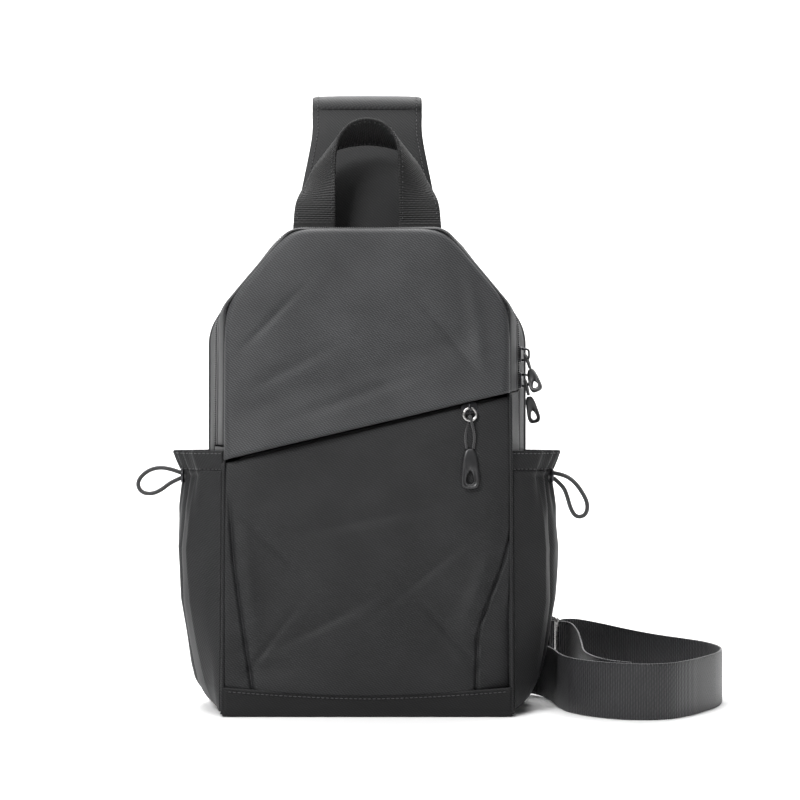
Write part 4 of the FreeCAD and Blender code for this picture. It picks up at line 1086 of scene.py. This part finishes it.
ripple = 0.9 * mm * np.cos(s / (3.1 * mm)) * np.exp(-np.abs(inner) / (6 * mm)) * seamLive
crease = 1.2 * mm * sum(np.exp(-(((s - z0 * mm) - (x - x0 * mm) * slope) / (wide * mm)) ** 2
                                - ((x - x0 * mm) / (long * mm)) ** 2)
                        for x0, z0, slope, wide, long in front["creases"])
tuckUnder = 1.6 * mm * np.exp(-(high - s) / (7 * mm))
footPinch = 0.8 * mm * np.exp(-(s - low) / (3 * mm))
ease = (np.clip(sideGap / (18 * mm), 0, 1) * np.clip((s - low) / (16 * mm), 0, 1)
        * np.clip((high - s) / (20 * mm), 0, 1))
depth = (roundedDrop(sideGap, 3.2 * mm) - middlePuff - sidePuff * seamLive + groove + rightTuck + leftTuck
         - (rightBulge + leftBulge + folds + slack - crease) * ease - ripple * ease + tuckUnder + footPinch)
face = facePoint(x, s, depth)
lowerFront = gridPiece("front-panel", face, twillLowPaintedShade, np.stack(np.broadcast_arrays(x, s), -1), wall=1.0 * mm)
sewOn(lowerFront, "bag", "coated_cloth", "front_center_panel", "front_left_panel", "front_right_panel")

# boot band: its top edge is folded over the panel, and its foot rolls under the bag
columns, rowsUp = 240, 40
x = spread(columns, body["half"] + 0.2 * mm)[None]
high = bootLine(x) + 1.2 * mm
phi = np.linspace(0, 1, rowsUp)[:, None]
s = 0.3 * mm + (high - 0.3 * mm) * phi
sideGap = np.maximum(body["half"] + 0.2 * mm - np.abs(x), 0)
depth = (roundedDrop(sideGap, 3.4 * mm) + roundedDrop(s - 0.3 * mm, 4.0 * mm) - 1.0 * mm
         - 0.8 * mm * np.exp(-((high - s) / (2.2 * mm)) ** 2)
         + 1.2 * mm * np.exp(-((high - s) / (0.6 * mm)) ** 2)
         - 0.5 * mm * soft(x * 60, s * 40, 31) * np.clip((s - 2 * mm) / (6 * mm), 0, 1))
boot = gridPiece("front-boot", facePoint(x, s, depth), twillBootPaintedShade, np.stack(np.broadcast_arrays(x, s), -1),
                 wall=1.0 * mm)
sewOn(boot, "bag", "coated_cloth", "front_boot")

line = np.linspace(-body["half"] + 4 * mm, body["half"] - 4 * mm, 200)
stitches("boot-stitches", facePoint(line, bootLine(line) - 1.6 * mm, -1.75 * mm), plumbOut, "bag")

# corded edges down both sides of the front
for side, sign in (("left", -1), ("right", 1)):
    height = np.linspace(2 * mm, foldHeight(sign * body["half"]) - 1.0 * mm, 60)
    path = facePoint(np.full(60, sign * (body["half"] - 0.3 * mm)), height, 1.3 * mm)
    piping = tubePiece("front-piping-" + side, path, 1.35 * mm, twillSidePaintedShade, 12, ride="bag")
print("front sewn")


# back

back = {
    "rim": 6.5 * mm,
        "puff": 3.2 * mm,
    "channel": 2.4 * mm,
    "pads": [(0, 262, 84, 44), (-51, 150, 36, 92), (51, 150, 36, 92), (0, 150, 4, 92)],
}


def loopLow(loop, x):
    bottom = loop[loop[:, 1] < loop[:, 1].max() * 0.5]
    order = np.argsort(bottom[:, 0], kind="stable")
    return np.interp(x, bottom[order, 0], bottom[order, 1])


columns, rowsUp = 260, 260
x = spread(columns, body["backHalf"] - 0.1 * mm)[None]
high, low = loopHigh(backLoop, x), loopLow(backLoop, x)
b = np.linspace(-1, 1, rowsUp)[:, None]
b = 0.5 + 0.5 * (0.8 * b + 0.2 * np.sin(b * math.pi / 2))
z = low + (high - low) * b
near = np.minimum(cornerDistance(x, z, body["backHalf"], body["backTop"], body["backCut"]), z - low)
near = np.minimum(near, (body["backHalf"] - np.abs(x)))
rise = (backHigh[1] - body["backY"]) - roundedDrop(near, back["rim"])
pads = 0
for px, pz, halfX, halfZ in back["pads"]:
    edgeX, edgeZ = (halfX * mm - np.abs(x - px * mm)), (halfZ * mm - np.abs(z - pz * mm))
    inside = np.clip(np.minimum(edgeX, edgeZ) / (9 * mm), 0, 1)
    pads = np.maximum(pads, np.sin(inside * math.pi / 2))
quilt = 0.5 + 0.5 * np.cos(math.tau * (x + z) / (26 * mm)) * np.cos(math.tau * (x - z) / (26 * mm))
channel = back["channel"] * (1 - pads) * np.clip(near / (8 * mm), 0, 1)
y = body["backY"] + rise + pads * (back["puff"] - 0.5 * mm * (1 - quilt)) - channel
y = np.maximum(y, body["backY"] + 0.2 * mm)
backPad = gridPiece("back-pad", np.stack(np.broadcast_arrays(x, y, z), -1), meshCloth,
                    np.stack(np.broadcast_arrays(x, z), -1), flip=True)
sewOn(backPad, "bag", "spacer_mesh", "back_mesh", "back_foam")

rim = np.concatenate([backLoop, backLoop[:1]])
rim = resample(rim, 400)[:-1]
rimPath = np.stack([rim[:, 0], np.full(len(rim), body["backY"] + 2.6 * mm), rim[:, 1]], 1)
rimPath[:, 2] = np.maximum(rimPath[:, 2], 1.6 * mm)
backPiping = tubePiece("back-binding", rimPath, 1.7 * mm, tapeCloth, 12, closed=True, ride="bag")
print("back padded")


# side pockets

pocket = {
    "belly": [(0.0, 1.5), (0.02, 3), (0.055, 7), (0.11, 12), (0.17, 15), (0.25, 18), (0.42, 23), (0.62, 25),
              (0.78, 23), (0.9, 19), (1.0, 27)],
    "clear": 0.6 * mm,
    "hem": 14 * mm,
    "gathers": 7,
    "crease": 0.2,  # where the front facet turns the corner, as a share of the width
}


def wallX(y, z):
    # half-width of the shell's upright side, tucked in at its rounded foot
    near = body["footY"] + body["panel"] + z * math.tan(leanAngle)
    share = (y - near) / (body["backY"] - near)
    foot = body["foot"] + (body["backFoot"] - body["foot"]) * share
    tuck = foot - np.sqrt(np.maximum(foot ** 2 - np.maximum(foot - z, 0) ** 2, 0))
    return body["half"] + (body["backHalf"] - body["half"]) * share - tuck


def pocketGrid(sign, shares, u, seed, out):
    # each level bows out between its front and back seams; the bow leans on a crease near the front
    z = shares * hemHigh[2]
    keys = np.array(pocket["belly"])
    slope = np.interp(shares, keys[:, 0], keys[:, 1]) * mm + out
    yFront = body["footY"] + z * math.tan(leanAngle) + body["panel"] + 1 * mm
    yBack = body["backY"] - 1 * mm
    y = yFront + (yBack - yFront) * u
    bow = 1 - np.abs(2 * u - 1) ** 2.3
    facet = np.clip(u / pocket["crease"], 0, 1) * np.clip((1 - u) / 0.34, 0, 1) ** 0.8
    bow = 0.55 * bow + 0.45 * facet
    crumple = soft(u * 9, shares * 5, seed) * 2.4 * mm + soft(u * 26, shares * 15, seed + 1) * 0.7 * mm
    gather = np.cos(math.tau * pocket["gathers"] * u + 0.7) * 1.5 * mm * np.clip((shares - 0.72) / 0.2, 0, 1)
    pleat = (-4.2 * mm * np.exp(-((u - 0.33 - 0.16 * (1 - shares)) / 0.05) ** 2)
             * np.clip((1 - shares) / 0.5, 0, 1))
    rearPleat = -3.4 * mm * np.exp(-((u - 0.78) / 0.045) ** 2) * np.clip((0.75 - shares) / 0.4, 0, 1)
    ease = np.clip(np.minimum(u, 1 - u) / 0.08, 0, 1)
    reach = wallX(y, z) + pocket["clear"] + slope * bow + (crumple + gather + pleat + rearPleat) * ease
    return np.stack(np.broadcast_arrays(sign * reach, y, z), -1)


for side, sign, seed in (("left", -1, 41), ("right", 1, 47)):
    u = np.linspace(0, 1, 150)[None]
    hemShare = 1 - pocket["hem"] / hemHigh[2]
    shares = np.linspace(0.02, hemShare, 120)[:, None]
    cloth = gridPiece("pocket-" + side, pocketGrid(sign, shares, u, seed, 0.0), twillSidePaintedShade, flip=sign > 0,
                      wall=1.2 * mm)
    sewOn(cloth, "bag", "coated_cloth", "pocket_" + side)
    # hem: a folded band whose top edge rolls over
    shares = np.linspace(hemShare - 0.004, 0.992, 26)[:, None]
    band = pocketGrid(sign, shares, u, seed, 0.7 * mm)
    band[..., 0] += sign * (0.5 * mm * np.sin(np.linspace(0, math.pi, 26)) ** 0.5)[:, None]
    turn = np.linspace(0, math.pi, 8)[1:, None]
    lipRadius = 1.0 * mm
    inward = -sign * lipRadius * (1 - np.cos(turn))
    lipTop = band[-1][None] + np.stack(np.broadcast_arrays(inward, 0 * turn, lipRadius * np.sin(turn)), -1)
    inside = band[::-1][1:] + np.array([-sign * 2 * lipRadius, 0, 0])
    hem = gridPiece("pocket-hem-" + side, np.concatenate([band, lipTop, inside]), twillSidePaintedShade, flip=sign > 0)
    sewOn(hem, "bag", "coated_cloth", "pocket_hem_" + side)
    for number, row in enumerate((3, 23)):
        path = band[row] + np.array([sign * 0.1 * mm, 0, 0])
        out = unit(np.stack([np.full(150, sign * 1.0), -np.gradient(band[row][:, 0]) * sign
                             / np.gradient(band[row][:, 1]) * sign, np.zeros(150)], 1))
        stitches(f"pocket-stitches-{side}-{number}", path, out, "bag")
    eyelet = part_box("cord_eyelet_" + side)
    middle = (np.array(eyelet[0]) + np.array(eyelet[1])) / 2
    turn = np.linspace(0, math.tau, 40, endpoint=False)
    ring = middle + np.stack([np.zeros(40), np.cos(turn), np.sin(turn)], 1) * 4.4 * mm
    collar = tubePiece("cord-eyelet-" + side, ring, 1.15 * mm, darkMetal, 14, closed=True, ride="bag")
    sewOn(collar, None, "dark_metal", "cord_eyelet_" + side)
    start = np.array([sign * (wallX(0.0, middle[2]) + 8 * mm), 0, middle[2]])
    stub = tubePiece("cord-barrel-" + side, np.linspace(start, middle + [sign * 0.6 * mm, 0, 0], 8), 3.6 * mm,
                     rubberSkin, 24, ride="bag")
print("pockets gathered")


# shoulder strap

strap = {
    "thick": 7.0 * mm,
    "crown": 0.12,
    "foldY": 90.4 * mm,
    "foldRadius": 12 * mm,
    "topZ": 424 * mm,
    "foot": 322 * mm,
    "footY": 50.4 * mm,
    "wideHalf": 53.5 * mm,
    "foldHalf": 40.5 * mm,
    "endHalf": 21 * mm,
    "inset": 7 * mm,
}


def strapPair(x, y, z, half, tilt=0.0):
    # two edges of a band: its width leans by tilt degrees
    reach = np.array([math.cos(math.radians(tilt)), 0, math.sin(math.radians(tilt))]) * half
    return [np.array([x, y, z]) + reach, np.array([x, y, z]) - reach]


rise = strap["topZ"] - strap["foot"]
footY, wideHalf = strap["footY"], strap["wideHalf"]
yokeKeys = [strapPair(0, footY, strap["foot"], wideHalf),
            strapPair(0, footY + 1 * mm, strap["foot"] + 0.1 * rise, wideHalf * 0.99),
            strapPair(0, footY + 8 * mm, strap["foot"] + 0.4 * rise, wideHalf * 0.9),
            strapPair(0, footY + 20 * mm, strap["foot"] + 0.8 * rise, strap["foldHalf"] * 1.01)]
for step in range(9):
    turn = math.pi * (1 - step / 8)
    yokeKeys.append(strapPair(0, strap["foldY"] + strap["foldRadius"] * math.cos(turn),
                              strap["topZ"] + strap["foldRadius"] * math.sin(turn), strap["foldHalf"]))
fallY, fallTop = strap["foldY"] + strap["foldRadius"], strap["topZ"]
foldHalf, endHalf = strap["foldHalf"], strap["endHalf"]
fallKeys = [strapPair(0, fallY, fallTop + 0.4 * mm, foldHalf),
            strapPair(0, fallY + 3 * mm, fallTop - 40 * mm, foldHalf),
            strapPair(4 * mm, fallY + 8 * mm, fallTop - 110 * mm, foldHalf * 0.98, 3),
            strapPair(14 * mm, fallY + 9 * mm, fallTop - 180 * mm, foldHalf * 0.94, 7),
            strapPair(32 * mm, fallY + 6 * mm, fallTop - 245 * mm, foldHalf * 0.85, 14),
            strapPair(58 * mm, fallY, fallTop - 300 * mm, foldHalf * 0.72, 24),
            strapPair(84 * mm, fallY - 7 * mm, fallTop - 338 * mm, endHalf * 1.12, 36),
            strapPair(104 * mm, fallY - 11 * mm, fallTop - 358 * mm, endHalf, 48)]

for name, keys, carrier, count in (("yoke", yokeKeys, "bag", 190),
                                   ("strap", fallKeys, "shoulder_strap", 260)):
    pad, pairs, normal = bandPiece(name + "-pad", keys, strap["thick"], twillStrapPaintedShade, count, 34,
                                   crown=strap["crown"], rim=0.9)
    ownBody = carrier if carrier == "bag" else None
    sewOn(pad, None, "coated_cloth", name + "_outer", name + "_foam")
    inner = pairs + unit(pairs[:, ::-1] - pairs) * strap["inset"]
    lining, _, _ = bandPiece(name + "-lining", inner, 2.2 * mm, meshCloth, count, 30, shift=-3.4 * mm,
                             rim=0.5)
    sewOn(lining, None, "spacer_mesh", name + "_mesh")
    rows = []
    for edge in (0, 1):
        line = pairs[:, edge] + unit(pairs[:, 1 - edge] - pairs[:, edge]) * 4.2 * mm
        line = line + normal * (strap["thick"] / 2 + 0.1 * mm)
        seam = stitches(f"{name}-stitches-{edge}", line[4:-4], normal[4:-4], ownBody)
        rows.append(seam)
    if ownBody:
        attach(pad, ownBody)
        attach(lining, ownBody)
    else:
        for piece in (pad, lining, *rows):
            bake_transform(piece)
print("strap padded")


# webbing

webbing = {
    "width": 38 * mm,
    "thick": 1.7 * mm,
    "loop": [(103, 50, 1.2), (114.5, 50.2, 1.2), (121.5, 47, 0.6), (127.5, 35, 0), (131, 14, 0),
             (132.5, -8, 0), (137, -27, 0), (148, -43, 0), (164, -54, 0), (182, -59.5, 0), (199, -56, 0),
             (213, -44, 0), (227, -26, 0), (240, -6, 0), (248.5, 16, 0), (250, 38, 0), (244, 60, 0),
             (232, 79, 0), (215, 94, 1), (195, 102.5, 4), (174, 103.5, 8.5), (157, 97.5, 12),
             (147.5, 90.5, 12.9), (143.5, 85, 12.9), (141.4, 83.43, 12.9)],
    "turnRadius": 3.43,
    "glide": (139, 80),
    "tail": [(144, 74.4, 12.9), (149.5, 68, 12), (152.5, 54, 8), (152.5, 34, 3), (151.5, 12, 0),
             (152.5, -10, 0), (156.5, -28, 0), (164, -42, 0), (175, -51, 0)],
}
turn = np.radians(90 + 180 * np.arange(7) / 6)
glideX, glideY = webbing["glide"]
turnKeys = np.stack([glideX + 0.2 + webbing["turnRadius"] * np.cos(turn),
                     glideY + webbing["turnRadius"] * np.sin(turn), np.full(7, 12.9)], 1)
route = np.concatenate([webbing["loop"], turnKeys, webbing["tail"]]) * mm
keys = np.stack([route + [0, 0, 0.3 * mm], route + [0, 0, webbing["width"] - 0.3 * mm]], 1)
strapWeb, _, _ = bandPiece("adjusting-webbing", keys, webbing["thick"], floorWebbing, 620, 14,
                                          rim=0.9)
sewOn(strapWeb, "bag", "webbing", "adjusting_webbing")

rearBarY = glideY + 9
reach = 0.71 * 3 + 0.8 + 0.3
middleZ = 12.9 + 19
tabKeys = [strapPair(107 * mm, fallY - 12 * mm, 62.5 * mm, 19 * mm, 50),
           strapPair(114 * mm, fallY - 13.5 * mm, 53 * mm, 19 * mm, 62),
           strapPair(121.5 * mm, (rearBarY + 6.5) * mm, 43 * mm, 19 * mm, 76),
           strapPair(129.5 * mm, (rearBarY + 4.2) * mm, 35 * mm, 19 * mm, 87)]
for step in range(7):
    bend = math.radians(90 - 180 * step / 6)
    tabKeys.append(strapPair((glideX + reach * math.cos(bend)) * mm, (rearBarY + reach * math.sin(bend)) * mm,
                             middleZ * mm, 19 * mm, 90))
tabKeys.append(strapPair(132 * mm, (rearBarY - 0.8) * mm, (middleZ + 1) * mm, 19 * mm, 90))
endTab, tabPairs, tabNormal = bandPiece("strap-end-tab", tabKeys, webbing["thick"], floorWebbing, 120, 14,
                                        rim=0.9)
sewOn(endTab, "bag", "webbing", "strap_end_tab")
for row in (8, 14):
    line = np.linspace(*(tabPairs[row] + (tabPairs[row].mean(0) - tabPairs[row]) * 0.12), 40)
    stitches(f"end-tab-stitches-{row}", line - tabNormal[row] * 0.95 * mm, -tabNormal[row], "bag")

anchorLow, anchorHigh = cornersOf("webbing_anchor")
t = np.linspace(0, 1, 24)
patchX = anchorLow[0] + (anchorHigh[0] - anchorLow[0]) * t[None]
patchZ = anchorLow[2] + (anchorHigh[2] - anchorLow[2]) * t[:, None]
patchEdge = np.minimum(np.minimum(t, 1 - t)[None], np.minimum(t, 1 - t)[:, None])
patchY = anchorHigh[1] - 1.6 * mm * (1 - np.clip(patchEdge / 0.12, 0, 1)) ** 2 + 0.8 * mm
patchX, patchZ = np.broadcast_arrays(patchX, patchZ)
patch = gridPiece("webbing-anchor", np.stack([patchX, patchY, patchZ], -1), floorWebbing, flip=True,
                  wall=2.4 * mm)
sewOn(patch, "bag", "webbing", "webbing_anchor")
corners = np.array([(0.2, 0.1), (0.8, 0.1), (0.8, 0.9), (0.2, 0.9), (0.2, 0.1), (0.8, 0.9)])
cornerX = anchorLow[0] + (anchorHigh[0] - anchorLow[0]) * corners[:, 0]
cornerZ = anchorLow[2] + (anchorHigh[2] - anchorLow[2]) * corners[:, 1]
anchorPath = np.stack([cornerX, np.full(6, anchorHigh[1] + 0.85 * mm), cornerZ], 1)
stitches("anchor-stitches", anchorPath, (0, 1, 0), "bag")

# tri-glide: a rounded frame and a middle bar of wire
glideLow, glideHigh = cornersOf("tri_glide")
middle = (glideLow + glideHigh) / 2
glideHalf = (glideHigh - glideLow) / 2 - 1.6 * mm
outlineYZ = roundedLoop([(-glideHalf[1], -glideHalf[2], 3 * mm), (glideHalf[1], -glideHalf[2], 3 * mm),
                         (glideHalf[1], glideHalf[2], 3 * mm), (-glideHalf[1], glideHalf[2], 3 * mm)], 8, 6)
framePath = middle + np.stack([np.zeros(len(outlineYZ)), outlineYZ[:, 0], outlineYZ[:, 1]], 1)
glide = tubePiece("tri-glide", framePath, 1.6 * mm, brightMetal, 16, closed=True, ride="bag")
barPath = middle + np.stack([np.zeros(10), np.zeros(10), np.linspace(-1, 1, 10) * glideHalf[2]], 1)
glideBar = tubePiece("tri-glide-bar", barPath, 1.4 * mm, brightMetal, 16, ride="bag")
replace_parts(glide, "tri_glide")
print("webbing threaded")


# grab handle

handle = {
    "inside": 22.5,
    "width": 30,
    "seat": 30,
    "hinge": 337.0,
    "rise": 74.5,
    "thick": 2.0 * mm,
    "fixedTo": 336 * mm,
    "freeFrom": 352 * mm,
}
ins, seat, hinge = handle["inside"], handle["seat"], handle["hinge"]
apex, outside = hinge + handle["rise"], ins + handle["width"]
sideKeys = [((ins, seat, hinge - 4), (outside, seat, hinge - 4)),
            ((ins, seat, hinge + 1), (outside, seat, hinge + 1)),
            ((ins, seat - 1, hinge + 17), (outside - 2, seat + 3, hinge + 17)),
            ((ins, seat - 3, apex - 31), (outside - 9.5, seat + 11, apex - 42)),
            ((ins - 1.5, seat - 4, apex - 18), (outside - 14.5, seat + 14, apex - 32)),
            ((ins - 5, seat - 5, apex - 9), (outside - 21, seat + 17, apex - 24)),
            ((ins - 12, seat - 6.5, apex - 2.5), (outside - 33, seat + 19, apex - 17.5)),
            ((0, seat - 7.5, apex), (0, seat + 20, apex - 14.5))]
rightKeys = np.array(sideKeys, float) * mm
leftKeys = rightKeys[:-1][::-1] * (-1, 1, 1)
grab, grabPairs, grabNormal = bandPiece("grab-handle", np.concatenate([rightKeys, leftKeys]), handle["thick"],
                                        handleWebbing, 300, 20, rim=0.8)
pieces = [grab]
for edge in (0, 1):
    line = grabPairs[:, edge] + (grabPairs[:, 1 - edge] - grabPairs[:, edge]) * 0.09
    for face in (1, -1):
        pieces.append(stitches(f"handle-stitches-{edge}-{'out' if face > 0 else 'in'}",
                               line[12:-12] + grabNormal[12:-12] * face * (handle["thick"] / 2 + 0.05 * mm),
                               grabNormal[12:-12] * face, None, gap=2.2 * mm, long=1.4 * mm))
sewOn(grab, None, "webbing", "grab_handle")
for piece in pieces:
    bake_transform(piece)
for side, sign in (("left", -1), ("right", 1)):
    footLow, footHigh = cornersOf("handle_foot_" + side)
    centre = (footLow + footHigh) / 2
    half = (footHigh - footLow) / 2
    pair = [[centre + (half[0], 0, h), centre + (-half[0], 0, h)] for h in (-6 * mm, -2 * mm, 2.4 * mm)]
    foot, _, _ = bandPiece("handle-foot-" + side, pair, 2.9 * mm, handleWebbing, 24, 16, rim=0.8)
    sewOn(foot, "bag", "webbing", "handle_foot_" + side)
print("handle sewn")


# sliders and ring

def superBlock(centre, axes, half, power, count=18):
    # superellipsoid: cosines and sines raised to a small power
    rise = np.linspace(-math.pi / 2, math.pi / 2, count + 2)[1:-1, None]
    turn = np.linspace(0, math.tau, 2 * count, endpoint=False)[None]

    def raised(value):
        return np.sign(value) * np.abs(value) ** power

    local = np.stack(np.broadcast_arrays(raised(np.cos(rise)) * raised(np.cos(turn)) * half[0],
                                         raised(np.cos(rise)) * raised(np.sin(turn)) * half[1],
                                         raised(np.sin(rise)) * half[2]), -1)
    return centre + local @ np.array(axes)


def blockPiece(name, centre, axes, half, power, material, carrier, count=18):
    grid = superBlock(centre, axes, half, power, count)
    rows, columns = grid.shape[:2]
    poles = np.array([grid[0].mean(0), grid[-1].mean(0)])
    first, last = np.arange(columns), np.arange(columns) + (rows - 1) * columns
    low = np.stack([np.roll(first, -1), first, np.full(columns, rows * columns)], -1)
    high = np.stack([last, np.roll(last, -1), np.full(columns, rows * columns + 1)], -1)
    points = np.concatenate([grid.reshape(-1, 3), poles])
    return capPiece(name, points, gridFaces(rows, columns, True), np.concatenate([low, high]),
                    np.zeros((len(points), 2)), material, carrier)


sliderLook = {"plate": 1.6 * mm, "wide": 8 * mm, "long": 11 * mm, "rise": 4.4 * mm, "bar": 1.2 * mm}


def sliderPiece(node, mount, out, along, carrier, crosswise=False):
    # mount is on the zip's side of the plate; the bridge arches over it
    across = np.cross(out, along)
    centre = mount + out * sliderLook["plate"] / 2
    plate = blockPiece(node.replace("_", "-"), centre, (across, along, out),
                       (sliderLook["wide"] / 2, sliderLook["long"] / 2, sliderLook["plate"] / 2 * 1.05), 0.45,
                       darkMetal, carrier)
    sewOn(plate, None, "dark_metal", node)
    span = (sliderLook["wide"] if crosswise else sliderLook["long"]) / 2 - 1.6 * mm
    way = across if crosswise else along
    arch = np.linspace(0, math.pi, 26)[:, None]
    squared = 0.5
    reachOut = np.abs(np.sin(arch)) ** squared * (sliderLook["rise"] + sliderLook["bar"] / 2)
    reachWay = np.sign(np.cos(arch)) * np.abs(np.cos(arch)) ** squared * span
    path = mount + out * (sliderLook["plate"] + reachOut) + way * reachWay
    bridge = tubePiece(node.replace("_", "-") + "-bridge", path, 0.8 * mm, darkMetal, 12, ride=carrier)


bridgeMiddle = sliderLook["plate"] + sliderLook["rise"] / 2
for level in ("upper", "lower"):
    pivot, axis = jointAt[level + "_pull_swing"]
    out = unit(np.cross(-axis, (0, 0, 1)))
    sliderPiece(level + "_slider", pivot - out * bridgeMiddle, out, np.array((0, 0, 1.0)), level + "_slider")
pivot = jointAt["front_ring_swing"][0]
alongZip = -jointAt["front_slider_run"][1]
outZip = unit(plumbOut - alongZip * (plumbOut @ alongZip))
sliderPiece("front_slider", pivot - outZip * bridgeMiddle, outZip, alongZip, "front_slider", crosswise=True)
ringMiddle = (jointAt["front_ring_swing"][0] + jointAt["front_pull_swing"][0]) / 2
turn = np.linspace(0, math.tau, 64, endpoint=False)[:, None]
ringPath = ringMiddle + (np.cos(turn) * np.array((1, 0, 0)) + np.sin(turn) * plumbUp) * 4.2 * mm
ring = tubePiece("front-ring", ringPath, 0.85 * mm, brightMetal, 16, closed=True, ride="front_ring")
sewOn(ring, None, "bright_metal", "front_ring")

# front zip: the CAD tape stays, and its coil is a row of teeth
teethLow, teethHigh = cornersOf("front_zip_teeth")
zipX = np.linspace(teethLow[0] + 1 * mm, teethHigh[0] - 1 * mm, 2)
zipUp = foldHeight(zipX) - 0.5 * mm - 3.4 * mm / math.cos(math.atan(body["foldSlope"]))
spots = resample(facePoint(zipX, zipUp, 1.0 * mm), 130)
ball = superBlock(np.zeros(3), np.eye(3), (0.55 * mm, 1.2 * mm, 0.7 * mm), 0.7, 5)
rows, columns = ball.shape[:2]
upZip = np.cross(outZip, alongZip)
local = ball.reshape(-1, 3) @ np.array([alongZip, upZip, outZip])
points = (spots[:, None] + local[None]).reshape(-1, 3)
firsts = np.arange(len(spots)) * rows * columns
quads = (gridFaces(rows, columns, True)[None] + firsts[:, None, None]).reshape(-1, 4)
coil = meshPiece("front-zip-coil", points, quads, np.zeros((len(points), 2)), teethSkin)
sewOn(coil, "bag", "zip_teeth", "front_zip_teeth")
print("sliders on")


# carried-over nodes

ownShape = {
    "front_zip_tape": plainWeave("frontZipTape", (0.014, 0.014, 0.015), 0.7 * mm, ownMap=False),
    "front_pocket_lining": liningCloth,
    "back_lining": liningCloth,
    "inner_sleeve": liningCloth,
    "base_board": boardSkin,
}
for node, material in ownShape.items():
    data = frame["nodes"][node].data
    data.materials.clear()
    data.materials.append(material)


# floor and light

floorFinish = Finish("paleFloor", (view["floorTone"],) * 3, 0.75)
floorCloud = floorFinish.noise(floorFinish.place(False), 3, 3, 0.5)
floorFinish.tint(floorCloud, [(0.3, (view["floorTone"] - 0.005,) * 3),
                              (0.7, (view["floorTone"] + 0.005,) * 3)])
sweep = np.linspace(0, math.pi / 2, 24)
profile = np.concatenate([[(-6.0, 0.0)], np.stack([2.4 + 1.2 * np.sin(sweep), 1.2 - 1.2 * np.cos(sweep)], 1),
                          [(3.6, 7.0)]])
wide = np.linspace(-9, 9, 3)
floorGrid = np.stack(np.broadcast_arrays(wide[None], profile[:, :1], profile[:, 1:]), -1)
floor = gridPiece("floor", floorGrid, floorFinish.material)

lights = [
    # name, place, target, size, watts
    ("key", (-0.75, -1.0, 1.2), (0, 0, 0.24), 0.55, 27),
    ("fill", (1.3, -1.5, 0.5), (0, 0, 0.15), 1.2, 2),
    ("top", (0.0, -0.3, 1.5), (0, 0, 0.2), 0.8, 8),
    ("rim", (1.2, 0.9, 0.9), (0.05, 0, 0.25), 0.7, 4),
    ("rimLeft", (-1.2, 0.8, 0.8), (0, 0, 0.25), 0.7, 3),
    ("wall", (0, 1.9, 3.4), (0, 3.6, 0.8), 3.0, 250),
    ("ground", (0, 0.9, 3.6), (0, 1.9, 0), 3.0, 90),
]
for name, place, target, width, watts in lights:
    lamp = bpy.data.lights.new(name, "AREA")
    lamp.size = width
    lamp.energy = watts
    holder = bpy.data.objects.new(name, lamp)
    holder.location = place
    aim = np.array(target) - np.array(place)
    holder.rotation_euler = Vector(aim).to_track_quat("-Z", "Y").to_euler()
    bpy.context.collection.objects.link(holder)

world = bpy.data.worlds.new("sky")
world.use_nodes = True
backdrop = next(n for n in world.node_tree.nodes if n.type == "BACKGROUND")
backdrop.inputs["Color"].default_value = (view["skyTone"],) * 3 + (1,)
backdrop.inputs["Strength"].default_value = view["skyStrength"]
bpy.context.scene.world = world
print("lights on")

# refresh the scene

bpy.context.view_layer.update()
